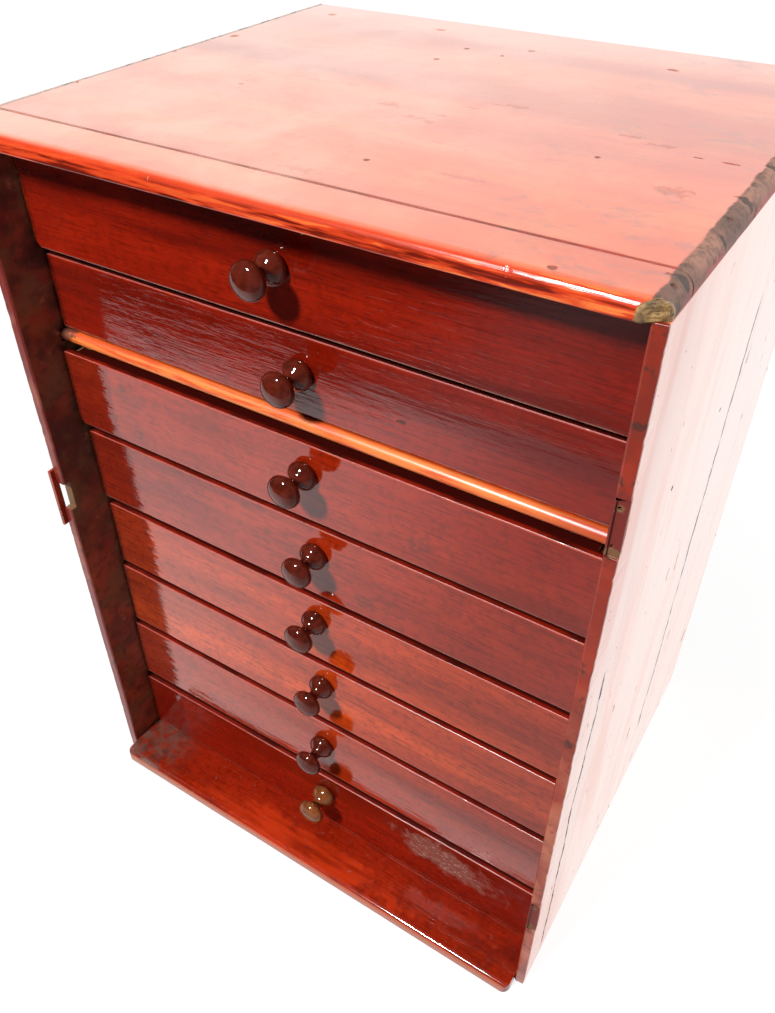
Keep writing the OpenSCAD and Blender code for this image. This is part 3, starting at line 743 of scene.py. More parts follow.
def knob_profile(spigot_l, length, head_r):
    """Radius and height along a knob, from its spigot's end to the top of its head."""
    sizes = shape()
    spigot = sizes.knob_spigot_d / 2
    collar = sizes.knob_collar_d / 2
    neck = sizes.knob_neck_d / 2
    tail = [(0.0, -spigot_l), (0.9 * spigot, -spigot_l), (spigot, 0.5 * MM - spigot_l), (spigot, -0.1 * MM)]
    shares = [
        (0.86 * collar, 0.0), (0.94 * collar, 0.03), (collar, 0.1), (0.98 * collar, 0.16),
        (0.88 * collar, 0.23), (0.72 * collar, 0.29), (neck + 0.12 * collar, 0.34), (neck, 0.4),
        (0.92 * neck, 0.47), (neck, 0.54), (1.25 * neck, 0.59), (0.7 * head_r, 0.63), (0.9 * head_r, 0.68),
        (0.985 * head_r, 0.73), (head_r, 0.78), (0.98 * head_r, 0.83), (0.91 * head_r, 0.88),
        (0.78 * head_r, 0.925), (0.58 * head_r, 0.962), (0.3 * head_r, 0.99), (0.0, 1.0),
    ]
    return tail + [(radius, share * length) for radius, share in shares]


class ChestOperator:
    """What the operators of this file have in common."""

    bl_options = {"REGISTER", "UNDO"}


class CHEST_OT_effects(ChestOperator, bpy.types.Operator):
    """Builds the shared shader groups and the trees that shape boards and knobs"""

    bl_idname = "chest.effects"
    bl_label = "Shared effects"

    def execute(self, context):
        for make in (make_grain_group, make_arris_group, make_blotch_group, make_spot_group, make_crack_group,
                     make_pit_group, make_relief_group, make_board_tree, make_turning_tree):
            make()
        return {"FINISHED"}


# Marks on the top, in millimetres: across, in from the front of the case, then reach across and in
TOP_RED_STREAKS = (
    (-92, 145, 12, 2), (-80, 149, 9, 2), (-63, 147, 10, 2), (-46, 150, 8, 2), (40, 93, 14, 2),
    (23, 85, 10, 2), (70, 60, 18, 2))
TOP_SCUFFS = (
    (-10, 131, 6, 4), (11, 119, 7, 3), (21, 116, 3, 3), (21, 128, 4, 2), (46, 160, 7, 3), (28, 147, 5, 1),
    (38, 158, 5, 1), (110, 146, 9, 2), (126, 141, 9, 2), (148, 90, 9, 5), (6, 33, 9, 3))
TOP_DENTS = (
    (-150, 282, 4, 4), (-66, 281, 5, 3), (90, 265, 4, 3), (-29, 248, 2, 2), (-4, 244, 2, 2), (6, 263, 2, 2),
    (-33, 218, 2, 2), (107, 112, 2, 2), (24, 57, 2, 2), (-96, 120, 2, 1), (144, 134, 3, 1), (158, 134, 5, 1),
    (-168, 201, 3, 5), (121, -4, 2, 2), (135, 2, 2, 2), (-45, -4, 2, 2))
TOP_END_DENTS = (
    (175, 18, 5, 3), (176, 98, 5, 3), (173, 140, 4, 2), (176, 60, 3, 2), (175, 170, 4, 3), (176, 230, 4, 4))


def top_mark(wood, mark, seed, ragged, scale=150.0):
    """The mask of one mark on the top."""
    x, y, across, back = mark
    return wood.spot((x, FRONT_Y / MM + y, TOP_Z / MM), (across, back, 6), seed, ragged, scale)


def mark_top(wood):
    """Streaks, scuffs, dents and the seam at their places on the top, the painted glare that pales it, and
    its worn ends.
    """
    look = finish()
    for k, mark in enumerate(TOP_RED_STREAKS):
        wood.cover(wood.times(top_mark(wood, mark, k, 0.9, 250.0), 0.4), look.stain_red)
    for k, mark in enumerate(TOP_SCUFFS):
        scuff = top_mark(wood, mark, 20 + k, 1.0, 320.0)
        wood.cover(wood.times(scuff, 0.5), look.scuffed, 0.3, dulls=True)
    for k, mark in enumerate(TOP_DENTS):
        wood.dent(top_mark(wood, mark, 40 + k, 0.5), 0.2 * MM, 0.8)
    seam = wood.math("ABSOLUTE", wood.math("SUBTRACT", wood.y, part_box("top_rear_board")[0].y))
    wood.cover(wood.ramp(seam, 1.5 * MM, 0.7 * MM, 0.0, 0.95), look.grime, 0.75, dulls=True)
    wood.mottle(wood.ramp(seam, 4 * MM, 0.8 * MM), (80.0, 0.4, 0.6, 15.0, 0.5), look.stain_red)
    # Painted glare: the left, middle and back of the top are paled, and the right keeps more of the worn red
    # stain
    to_right = wood.ramp(wood.x, -0.03, 0.14)
    wood.mottle(wood.math("SUBTRACT", 1.0, to_right), (16.0, 0.3, 0.66, 12.0, 0.42), look.glare_paled)
    wood.cover(wood.times(wood.ramp(wood.y, BACK_Y - 60 * MM, BACK_Y), 0.5), look.glare_paled)
    wood.mottle(to_right, (30.0, 0.35, 0.6, 9.0, 0.4), look.stain_worn)
    wood.cover(wood.patches(75.0, 0.55, 0.72, 13.0, 0.22), look.stain_worn)
    wood.cover(wood.patches(190.0, 0.6, 0.72, 14.0, 0.3), look.stain_worn)
    band = wear_right_end(wood)
    smears = wood.noise(wood.stretched(0.5, 1, 1), 60.0, 8.0, 19.0, 0.6, 0.78)
    smears = wood.times(wood.ramp(smears, 0.5, 0.64, 0.0, 0.55), wood.ramp(wood.x, 0.05, 0.12),
                        wood.ramp(band, 1.0, 0.0))
    wood.cover(smears, look.scuffed)
    wear_left_end(wood)


def wear_right_end(wood):
    """The grey-brown, dented right end of the top. Gives the mask of its band."""
    look = finish()
    ragged = wood.math("MULTIPLY_ADD", wood.noise(wood.place, 120.0, 4.0, 3.0, 0.0, 0.6), 4 * MM, wood.x)
    band = wood.ramp(ragged, HALF_W - 5.6 * MM, HALF_W - 4.2 * MM)
    wood.cover(wood.times(band, 0.95), look.worn_end, 0.95, dulls=True)
    wood.mottle(band, (300.0, 0.45, 0.62, 16.0, 0.45), look.grime)
    low_edge = wood.times(band, wood.ramp(wood.z, TOP_Z - 3 * MM, TOP_Z - 7 * MM))
    wood.cover(wood.times(low_edge, 0.6), look.grime, 0.8)
    wood.mottle(low_edge, (70.0, 0.35, 0.55, 5.0, 0.85), look.stain_red, 0.6)
    wood.mottle(band, (45.0, 0.45, 0.6, 21.0, 0.55), look.grime)
    wood.dent(wood.times(band, wood.patches(80.0, 0.52, 0.62, 6.0, 0.75)), 0.5 * MM, 0.85)
    for k, mark in enumerate(TOP_END_DENTS):
        wood.dent(top_mark(wood, mark, 60 + k, 0.8), 0.4 * MM)
    return band


def wear_left_end(wood):
    """The pale rubbed left end of the top, with a dark outline."""
    look = finish()
    ragged = wood.math("MULTIPLY_ADD", wood.noise(wood.place, 140.0, 4.0, 4.0, 0.0, 0.6), 3 * MM, wood.x)
    wood.cover(wood.ramp(ragged, 6 * MM - HALF_W, 5.4 * MM - HALF_W, 0.0, 0.8), look.grime, 0.5)
    left_end = wood.ramp(ragged, 5 * MM - HALF_W, 4.4 * MM - HALF_W)
    wood.cover(wood.times(left_end, 0.9), look.pale_end, 0.6, dulls=True)
    wood.mottle(left_end, (120.0, 0.52, 0.6, 17.0, 0.9), look.grime)


def mark_front_board(wood):
    """The worn nosing, with painted shade low on it and painted golden glints high on its right, and the
    broken corner, on top of what both boards have.
    """
    look = finish()
    mark_top(wood)
    nosing = wood.ramp(wood.y, FRONT_Y - 0.5 * MM, FRONT_Y - 3.5 * MM)
    wood.cover(wood.times(nosing, 0.95), look.stain_worn, 0.22, dulls=True)
    lines = wood.noise(wood.stretched(0.07, 1, 1), 420.0, 3.0, 7.0, 0.3, 0.6)
    # Painted shade: dark streaks only on the lower, downward-facing half of the nosing
    low_down = wood.ramp(wood.z, TOP_Z - 1 * MM, TOP_Z - 5 * MM)
    dark = wood.times(wood.ramp(lines, 0.46, 0.6, 0.0, 0.9), low_down)
    wood.cover(wood.times(nosing, dark), look.deep_stain_and_shade)
    # Painted highlight: golden glints along the upper nosing, most of them towards the right
    bright = wood.times(wood.ramp(lines, 0.47, 0.4), wood.ramp(wood.x, -0.08, 0.12, 0.1, 0.7),
                        wood.patches(45.0, 0.35, 0.55, 18.0))
    wood.cover(wood.times(nosing, bright), look.gold_rub_and_glint, 0.3)
    wood.raise_by(wood.times(nosing, lines), 0.25 * MM)
    into_corner = wood.math("SUBTRACT", wood.x, wood.times(wood.y, BREAK_SLOPE))
    break_line = HALF_W - (FRONT_Y + 2.5 * MM) * BREAK_SLOPE
    torn = wood.ramp(into_corner, break_line - 2.6 * MM, break_line - 1.7 * MM)
    wood.cover(torn, look.raw_wood, 0.6, dulls=True)
    splinters = wood.noise(wood.stretched(0.5, 0.6, 1.0), 480.0, 5.0, 8.0, 0.8, 0.7)
    wood.mottle(torn, (180.0, 0.4, 0.55, 20.0, 0.85), look.lock_stain)
    wood.cover(wood.times(torn, wood.ramp(splinters, 0.48, 0.66, 0.0, 0.85)), look.grime)
    wood.raise_by(wood.times(torn, splinters), 0.9 * MM)


class CHEST_OT_top(ChestOperator, bpy.types.Operator):
    """Lays the two boards of the top"""

    bl_idname = "chest.top"
    bl_label = "Top"

    def execute(self, context):
        # Partly painted light: the top's pale stain also carries the bright light on it
        stained = {"tone": 1.0, "glow": 1.0, "depth": 0.2, "coat": 1.0, "pale": finish().stain_top}
        front = varnished("Top front varnish", "top_front_board", seed=11.0, extra=mark_front_board,
                          **stained)
        rear = varnished("Top rear varnish", "top_rear_board", seed=12.0, extra=mark_top, **stained)
        end = (WORN_END_X - 3 * MM, FRONT_Y - 20 * MM, TOP_Z - 20 * MM)
        end_corner = (HALF_W, BACK_Y, TOP_Z + 20 * MM)
        break_corner = (HALF_W, FRONT_Y + 4 * MM, TOP_Z + 20 * MM)
        coarse = ((3 * MM, 5 * MM, 2 * MM), end, end_corner)
        splinters = ((0.8 * MM, 0.8 * MM, 0.7 * MM), end, break_corner)
        board("top_front_board", "case", front, seed=11.0, reshape=splintered_corner,
              fine=[coarse, splinters])
        board("top_rear_board", "case", rear, seed=12.0, reshape=dented_end,
              fine=[((3 * MM, 4 * MM, 3 * MM), end, end_corner)])
        return {"FINISHED"}


# Filth at both ends of a hinge seat, in millimetres: height above its middle, then reach across and up
SEAT_FILTH = ((-13, 5, 3), (9.75, 2, 2))


def rub_front_edge(wood, seed):
    """Wears the stain from the front edge of the right side, most of all low down and in the hinge seats."""
    look = finish()
    edge = wood.ramp(wood.y, FRONT_Y + 2.2 * MM, FRONT_Y + 1.6 * MM)
    wood.cover(wood.times(edge, 0.95), scaled(look.stain_red, 0.6), 0.3, dulls=True)
    wood.mottle(edge, (30.0, 0.4, 0.65, seed + 2, 0.3), look.stain_worn)
    low_edge = wood.times(edge, wood.ramp(wood.z, 0.36, 0.16))
    wood.mottle(low_edge, (40.0, 0.35, 0.65, seed, 0.6), look.rubbed, 0.3)
    wood.mottle(edge, (160.0, 0.57, 0.68, seed + 1, 0.75), look.grime, 0.5)
    # The mounts after the base are the two hinge seats
    for k, seat in enumerate(frame["record"]["mounts"][1:]):
        x, y, z = (c / MM for c in seat["pos_m"])
        seat_floor = wood.spot((x, y, z), (9, 4, 24), seed + 3 + k, 0.2)
        wood.cover(wood.times(seat_floor, 0.9), scaled(look.stain_red, 0.5), 0.6, dulls=True)
        for above, across, up in SEAT_FILTH:
            filth = wood.spot((x, y, z + above), (across, 4, up), seed + 5 + k, 1.0, 400.0)
            wood.cover(wood.times(filth, 0.75), look.lock_stain, 0.6)


# Middle of the lock notch, in millimetres
LOCK_X, LOCK_Z = -170, 262


def darken_inside(wood):
    """The thin, dirty finish on the inner face of the left side, with painted shade that darkens it towards
    the top, and the raw wood round the lock notch.
    """
    look = finish()
    inside = wood.times(wood.ramp(wood.x, 0.2 * MM - HALF_W, 0.9 * MM - HALF_W),
                        wood.ramp(wood.y, FRONT_Y + 0.5 * MM, FRONT_Y + 1.5 * MM))
    # Painted shade: the inner face runs from nearly black at the top to brown low down
    dark = scaled(look.deep_stain_and_shade, 0.45)
    wood.cover(inside, wood.blend(wood.ramp(wood.z, 0.42, 0.08), dark, look.inner_brown), 0.42, dulls=True)
    for patches, colour in (
            ((22.0, 0.42, 0.55, 24.0, 0.6), look.inner_brown), ((38.0, 0.45, 0.6, 23.0, 0.6), dark),
            ((60.0, 0.46, 0.6, 25.0, 0.6), look.lock_stain), ((34.0, 0.52, 0.64, 22.0, 0.5), look.stain_red),
            ((150.0, 0.5, 0.65, 29.0, 0.55), look.grime), ((90.0, 0.6, 0.7, 26.0, 0.5), look.rubbed)):
        wood.mottle(inside, patches, colour)
    for behind, reach, seed, ragged, share, roughness in (
            (4, (14, 5, 17), 27.0, 0.35, 0.85, 0.6), (6, (14, 12, 26), 28.0, 0.5, 0.35, 0.4)):
        raw = wood.spot((LOCK_X, FRONT_Y / MM + behind, LOCK_Z), reach, seed, ragged)
        wood.cover(wood.times(raw, share), look.lock_stain, roughness)


# Cracks of the right side, in metres: how far in from the front, then the lowest and highest height
SIDE_CRACKS = ((0.184, 0.06, 0.43), (0.025, 0.0, 0.3))

# Its worm holes: cells in a metre, share of the cells that hold one, radius and seed
WORM_HOLES = ((60.0, 0.2, 1.1 * MM, 31.0), (130.0, 0.09, 0.6 * MM, 33.0))


def crack_side(wood):
    """The red streaks, cracks, worm holes and rubbed front corner of the right side, and the painted glare
    that pales it towards the back.
    """
    look = finish()
    flow = wood.noise(wood.stretched(1, 1, 0.14), 38.0, 5.0, 9.0, 0.3, 0.55)
    near_front = wood.ramp(wood.y, FRONT_Y + 90 * MM, FRONT_Y)
    low_down = wood.ramp(wood.z, 0.28, 0.05)
    redder = wood.math("ADD", wood.times(near_front, 0.09), wood.times(low_down, 0.07))
    streaks = wood.ramp(wood.math("ADD", flow, redder), 0.5, 0.72, 0.0, 0.5)
    wood.cover(streaks, look.stain_worn, 0.14, dulls=True)
    # Painted glare: the right side is paled, more towards the back
    wood.cover(wood.ramp(wood.y, FRONT_Y + 20 * MM, FRONT_Y + 110 * MM, 0.25, 0.9), look.glare_paled)
    fine = wood.noise(wood.stretched(1, 1, 0.05), 170.0, 5.0, 12.0, 0.4, 0.6)
    wood.cover(wood.ramp(fine, 0.47, 0.66, 0.0, 0.45), look.stain_worn)
    dashes = wood.noise(wood.stretched(1, 0.4, 0.14), 260.0, 3.0, 10.0, 0.0, 0.6)
    wood.cover(wood.ramp(dashes, 0.655, 0.7, 0.0, 0.8), look.deep_stain_and_shade, 0.5, dulls=True)
    for seed, (inward, low, high) in enumerate(SIDE_CRACKS, 1):
        crack = wood.effect("Crack", seed, {
            "Y": FRONT_Y + inward, "Low Z": low, "High Z": high, "Width": 1.1 * MM})
        wood.cover(wood.times(crack["Halo"], 0.5), look.deep_stain_and_shade, 0.2)
        wood.dent(crack["Mask"], 0.8 * MM, 1.0)
    for cells, share, radius, seed in WORM_HOLES:
        holes = wood.effect("Pits", seed, {"Cells": cells, "Share": share, "Radius": radius})
        wood.dent(holes["Mask"], 0.6 * MM)
    ragged = wood.math("MULTIPLY_ADD", wood.noise(wood.place, 140.0, 4.0, 35.0), 2.4 * MM, wood.y)
    arris = wood.ramp(ragged, FRONT_Y + 3.2 * MM, FRONT_Y + 2.2 * MM)
    wood.cover(wood.times(arris, 0.8), look.rubbed, 0.45, dulls=True)
    rub_front_edge(wood, 36.0)


def mark_left_side(wood):
    """The inner face, the notch and the dark front strip of the left side."""
    look = finish()
    darken_inside(wood)
    strip = wood.ramp(wood.y, FRONT_Y + 1.2 * MM, FRONT_Y + 0.6 * MM)
    wood.cover(wood.times(strip, 0.95), scaled(look.stain_red, 0.55), 0.35, dulls=True)
    wood.mottle(strip, (50.0, 0.5, 0.68, 29.0, 0.25), look.rubbed)
    wood.mottle(strip, (120.0, 0.58, 0.68, 30.0, 0.7), look.grime, 0.4)


class CHEST_OT_sides(ChestOperator, bpy.types.Operator):
    """Sets up the two sides, with the lock notch, the hinge seats and the cracks"""

    bl_idname = "chest.sides"
    bl_label = "Sides"

    def execute(self, context):
        left = varnished("Left side varnish", "left_side", "Z", seed=21.0, tone=0.8, glow=0.5, coat=1.0,
                         extra=mark_left_side)
        # Painted glare: the right side is given the top's pale stain
        right = varnished("Right side varnish", "right_side", "Z", seed=22.0, tone=1.0, glow=1.0,
                          depth=0.3, coat=1.0, coat_ior=1.8, relief=0.1 * MM,
                          pale=finish().stain_top, extra=crack_side)
        for node, material, seed in (("left_side", left, 21.0), ("right_side", right, 22.0)):
            low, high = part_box(node)
            edge = ((0, 0, 1.6 * MM), low, (high.x, FRONT_Y + 2 * MM, high.z))
            board(node, "case", material, seed=seed, arris=0.3 * MM, fine=[edge],
                  reshape=chipped_arris)
        return {"FINISHED"}


def wear_bottom(wood):
    """Dirt and dust at the left, dark stain at the right and a bright rubbed middle on the bottom board."""
    look = finish()
    middle = wood.spot((-10, FRONT_Y / MM - 2, 10), (100, 15, 30), 34.0, 0.4, 60.0)
    streaks = wood.noise(wood.stretched(0.12, 1, 1), 130.0, 4.0, 41.0, 0.2, 0.6)
    wood.cover(wood.times(middle, wood.ramp(streaks, 0.4, 0.6, 0.15, 0.75)), look.stain_worn)
    left = wood.ramp(wood.x, -0.115, -0.15)
    wood.mottle(left, (130.0, 0.32, 0.62, 35.0, 0.85), look.dusty_grime, 0.45)
    wood.mottle(left, (170.0, 0.5, 0.62, 42.0, 0.6), look.grime, 0.5)
    wood.mottle(wood.ramp(wood.x, 0.11, 0.16), (50.0, 0.35, 0.6, 36.0, 0.7), look.deep_stain_and_shade, 0.2)
    wood.cover(wood.patches(220.0, 0.6, 0.7, 37.0, 0.3), look.dust, 0.35)
    wood.cover(wood.patches(55.0, 0.5, 0.75, 40.0, 0.35), look.deep_stain_and_shade)
    lip_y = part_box("bottom_board")[0].y
    wood.cover(wood.times(wood.ramp(wood.y, lip_y + 1.4 * MM, lip_y + 0.5 * MM), 0.55), look.rubbed, 0.35)


def wear_and_glint_shelf(wood):
    """The golden rounded front of the shelf, partly rubbed stain and partly a painted highlight that turns
    red towards the right end, and its darker left end.
    """
    look = finish()
    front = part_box("mid_shelf")[0].y
    nose = wood.ramp(wood.y, front + 5 * MM, front + 2 * MM)
    # Partly a painted highlight: gold along the shelf's rounded front
    wood.cover(wood.times(nose, 0.85), look.gold_rub_and_glint, 0.38)
    lines = wood.noise(wood.stretched(0.08, 1, 1), 330.0, 4.0, 39.0, 0.3, 0.65)
    wood.cover(wood.times(nose, wood.ramp(lines, 0.45, 0.6), 0.75), look.stain_worn, 0.42)
    # The painted highlight gives way to red towards the right end
    wood.cover(wood.times(nose, wood.ramp(wood.x, 0.11, 0.165, 0.0, 0.7)), look.stain_red)
    end = wood.spot((-168, front / MM + 2, SHELF_Z / MM), (9, 9, 12), 38.0, 0.8)
    wood.cover(wood.times(end, 0.85), look.grime, 0.5)


class CHEST_OT_bottom(ChestOperator, bpy.types.Operator):
    """Fits the bottom board, the shelf and the keeper strip"""

    bl_idname = "chest.bottom"
    bl_label = "Bottom board, shelf and keeper"

    def execute(self, context):
        bottom = varnished("Bottom board varnish", "bottom_board", seed=31.0, tone=0.75, glow=0.12,
                           extra=wear_bottom)
        shelf = varnished("Shelf varnish", "mid_shelf", seed=32.0, tone=1.0, glow=0.5, extra=wear_and_glint_shelf)
        keeper = varnished("Keeper varnish", "lock_keeper", "Z", seed=33.0, tone=0.9, glow=0.2)
        board("bottom_board", "case", bottom, seed=31.0)
        board("mid_shelf", "case", shelf, seed=32.0)
        board("lock_keeper", "case", keeper, sway=0.0)
        return {"FINISHED"}


class CHEST_OT_back(ChestOperator, bpy.types.Operator):
    """Closes the back and fits the runner strips inside"""

    bl_idname = "chest.back"
    bl_label = "Back and runners"

    def execute(self, context):
        back = bare("Back boards wood", "X", 41.0, 0.75)
        strips = bare("Runner wood", "Y", 42.0, 0.5)
        for node in ("back_lower_board", "back_upper_board"):
            board(node, "case", back, seed=41.0)
        for node in ("left_runners", "right_runners"):
            board(node, "case", strips, arris=0.3 * MM, sway=0.0)
        return {"FINISHED"}


class CHEST_OT_nails(ChestOperator, bpy.types.Operator):
    """Gives the nails their old iron"""

    bl_idname = "chest.nails"
    bl_label = "Nails"

    def execute(self, context):
        nails = frame["nodes"]["case_nails"]
        nails.data.materials.clear()
        nails.data.materials.append(iron("Old iron"))
        return {"FINISHED"}


# How far the red stain hides the deep one and how far the wood shines through, from the top drawer down
FRONT_TONES = (
    (0.05, 0.0), (0.4, 0.0), (0.95, 0.24), (0.95, 0.26), (1.0, 0.95), (1.0, 1.0), (1.0, 0.5), (0.4, 0.0))

# Marks on the drawer fronts, in millimetres: drawer, across, height, reach across and up, and what it is
FRONT_MARKS = (
    (3, -126, 353, 4, 6, "smudge"), (3, -119, 322, 5, 4, "smudge"), (3, 75, 328, 8, 6, "smudge"),
    (6, 145, 200, 3, 3, "smudge"), (7, 60, 160, 3, 1, "dent"), (8, 102, 46, 44, 17, "frosted"),
    (6, -40, 205, 3, 1, "dent"), (2, 60, 395, 3, 1, "dent"), (4, 40, 262, 12, 7, "smudge"))

# The drawers down to this one lie above the shelf. They are darker and their grain stands out
LAST_DARK_DRAWER = 2


def shade_and_wear_front_edges(wood, drawer):
    """Darkens the ends of a drawer front with painted shade, paints its top face dark as shade with lit red
    patches near the front, and wears its top and bottom arrises.
    """
    look = finish()
    below_shelf = drawer > LAST_DARK_DRAWER
    low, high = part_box(f"drawer_{drawer}_front")
    # Painted shade: the left end of each drawer below the shelf is darkened
    if below_shelf:
        ragged = wood.noise(wood.place, 220.0, 4.0, drawer, 0.0, 0.6)
        ragged = wood.math("MULTIPLY_ADD", ragged, 10 * MM, wood.x)
        wood.cover(wood.times(wood.ramp(ragged, -129 * MM, -133 * MM), 0.5), look.deep_stain_and_shade)
    # Painted shade: every front darkens towards its right end
    wood.cover(wood.ramp(wood.x, 0.03, 0.17, 0.0, 0.4), look.deep_stain_and_shade)
    arris = wood.ramp(wood.z, high.z - 1.3 * MM, high.z - 0.8 * MM)
    wood.mottle(arris, (70.0, 0.38, 0.6, drawer + 8.0, 0.55 if below_shelf else 0.3), look.stain_orange, 0.25)
    dull = wood.ramp(wood.z, high.z - 0.9 * MM, high.z - 0.6 * MM)
    wood.mottle(dull, (110.0, 0.3, 0.45, drawer + 9.0, 0.9),
                scaled(look.stain_worn, 0.6) if below_shelf else look.stain_red, 0.7)
    # Painted light and shade on the top face of the front: red in lit patches near the front, dark behind
    lit = wood.times(wood.ramp(wood.y, low.y + 3.4 * MM, low.y + 1.8 * MM),
                     wood.patches(40.0, 0.3, 0.6, drawer + 10.0, 0.8 if below_shelf else 0.2))
    above = wood.ramp(wood.z, high.z - 0.3 * MM, high.z - 0.1 * MM)
    wood.cover(above, wood.blend(lit, scaled(look.deep_stain_and_shade, 0.4), look.stain_red), 0.3)
    near_foot = wood.ramp(wood.z, low.z + 1.4 * MM, low.z + 0.5 * MM)
    wood.mottle(near_foot, (60.0, 0.35, 0.55, drawer, 0.7), look.dust, 0.4)


def mark_front(wood, drawer):
    """Lays a drawer front's own smudges, dents and frosted varnish."""
    look = finish()
    front_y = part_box(f"drawer_{drawer}_front")[0].y / MM
    for k, (on, x, z, across, up, kind) in enumerate(FRONT_MARKS):
        if on != drawer:
            continue
        ragged, scale = (0.55, 60.0) if kind == "frosted" else (0.7, 160.0)
        mark = wood.spot((x, front_y, z), (across, 8, up), 70.0 + k, ragged, scale)
        if kind == "dent":
            wood.dent(mark, 0.15 * MM, 0.8)
        elif kind == "smudge":
            wood.mottle(mark, (500.0, 0.3, 0.7, k + 80.0, 0.6), look.grime, 0.2)
        else:
            specks = wood.noise(wood.stretched(0.3, 1, 1), 1000.0, 4.0, 5.0, 0.0, 0.7)
            wood.cover(wood.times(mark, 0.35), look.dust, 0.3)
            wood.cover(wood.times(mark, wood.ramp(specks, 0.46, 0.66, 0.0, 0.8)), look.frosted, 0.35)
    wood.cover(wood.patches(260.0, 0.68, 0.74, drawer + 4.0, 0.6), look.grime, 0.4)


def ripple_front(wood, drawer):
    """Waves in the varnish, most of all near the left end, and raised grain on the dark drawers."""
    waves = wood.noise(wood.stretched(0.4, 1, 1), 110.0, 3.0, drawer + 11.0, 0.0, 0.6)
    wood.raise_by(wood.times(waves, wood.ramp(wood.x, -0.07, -0.11, 0.3, 1.0)), 0.35 * MM)
    if drawer <= LAST_DARK_DRAWER:
        spread = wood.ramp(wood.x, 0.0, 0.04) if drawer == 1 else wood.ramp(wood.x, 0.03, -0.02)
        ridge = wood.noise(wood.stretched(0.1, 1, 1), 430.0, 3.0, drawer, 1.2)
        wood.raise_by(wood.times(ridge, spread), 0.12 * MM)


class CHEST_OT_fronts(ChestOperator, bpy.types.Operator):
    """Finishes the eight drawer fronts, each with its own grain and wear"""

    bl_idname = "chest.fronts"
    bl_label = "Drawer fronts"

    def execute(self, context):
        for i, (tone, glow) in zip(DRAWERS, FRONT_TONES):
            def wear(wood):
                for effect in (shade_and_wear_front_edges, mark_front, ripple_front):
                    effect(wood, i)

            node = f"drawer_{i}_front"
            material = varnished(f"Drawer {i} front varnish", node, seed=50.0 + i, tone=tone, glow=glow,
                                 ior=1.85, extra=wear)
            board(node, f"drawer_{i}", material, arris=0.0, seed=50.0 + i)
        return {"FINISHED"}


class CHEST_OT_boxes(ChestOperator, bpy.types.Operator):
    """Builds the sides, backs and bottoms of the eight drawers in bare wood"""

    bl_idname = "chest.boxes"
    bl_label = "Drawer boxes"

    def execute(self, context):
        side_wood = bare("Drawer side wood", "Y", 61.0, 0.35)
        back_wood = bare("Drawer back wood", "X", 62.0, 0.35)
        bottom_wood = bare("Drawer bottom wood", "X", 63.0, 0.45)
        for i in DRAWERS:
            body = f"drawer_{i}"
            for part, wood in (("left_side", side_wood), ("right_side", side_wood), ("back", back_wood)):
                board(f"{body}_{part}", body, wood, sway=0.0)
            board(f"{body}_bottom", body, bottom_wood, arris=0.2 * MM, sway=0.0)
        return {"FINISHED"}


class CHEST_OT_knobs(ChestOperator, bpy.types.Operator):
    """Turns the eight knobs"""

    bl_idname = "chest.knobs"
    bl_label = "Knobs"

    def execute(self, context):
        look = finish()
        for i in DRAWERS:
            node = f"drawer_{i}_knob"
            low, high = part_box(node)
            face_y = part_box(f"drawer_{i}_front")[0].y
            profile = knob_profile(high.y - face_y, face_y - low.y, (high.x - low.x) / 2)
            points = [(radius, 0.0, height) for radius, height in profile]
            mesh = bpy.data.meshes.new(f"turned_{node}")
            mesh.from_pydata(points, [(k, k + 1) for k in range(len(points) - 1)], [])
            made = new_object(f"turned_{node}", mesh)
            stain = look.knob_amber if i == DRAWERS[-1] else look.knob_dark
            grow(made, "Turning", {"Steps Round": shape().knob_steps, "Seed": float(i),
                                   "Material": turned(f"Knob {i} varnish", stain, float(i))})
            centre = Vector(((low.x + high.x) / 2, face_y, (low.z + high.z) / 2))
            for vertex in made.data.vertices:
                x, y, z = vertex.co
                vertex.co = centre + Vector((x, -z, y))
            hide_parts(node)
            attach(made, f"drawer_{i}")
        return {"FINISHED"}


def area_lamp(name, place, size, power):
    """A square lamp aimed at the middle of the chest."""
    light = bpy.data.lights.new(name, "AREA")
    light.size = size
    light.energy = power
    lamp = new_object(name, light)
    lamp.location = place
    aim = Vector((0, 0, TOP_Z / 2)) - Vector(place)
    lamp.rotation_euler = aim.to_track_quat("-Z", "Y").to_euler()


def add_camera(scene, look):
    """The camera of the photo."""
    lens = bpy.data.cameras.new("Photo camera")
    lens.lens = look.lens
    lens.sensor_width = 36
    lens.shift_x, lens.shift_y = look.shift
    lens.clip_start = 0.01
    camera = new_object("Photo camera", lens)
    camera.location = look.camera_place
    camera.rotation_euler = Euler(look.camera_turn)
    scene.camera = camera


def add_sky(scene, look):
    """Even light.

    The camera sees white. The varnish sees a white wall behind the chest and a dim room in front of it.
    """
    scene.world = bpy.data.worlds.new("Studio")
    scene.world.use_nodes = True
    graph = Graph(scene.world.node_tree)
    _, back, _ = graph.split(graph.node("ShaderNodeTexCoord").outputs["Generated"])
    path = graph.node("ShaderNodeLightPath").outputs
    mirrored = graph.ramp(back, -0.25, 0.1, look.room, 1.0)
    strength = graph.between(path["Is Camera Ray"], look.sky, 1.0)
    strength = graph.between(path["Is Glossy Ray"], strength, mirrored)
    graph.fill(graph.tree.nodes["Background"], {"Color": (1, 1, 1, 1), "Strength": strength})


# How far the front end of the pale sheet slants forward for each step to the right, and half the width
# over which it fades
SHEET_SLANT = 0.143
SHEET_FADE = 0.04


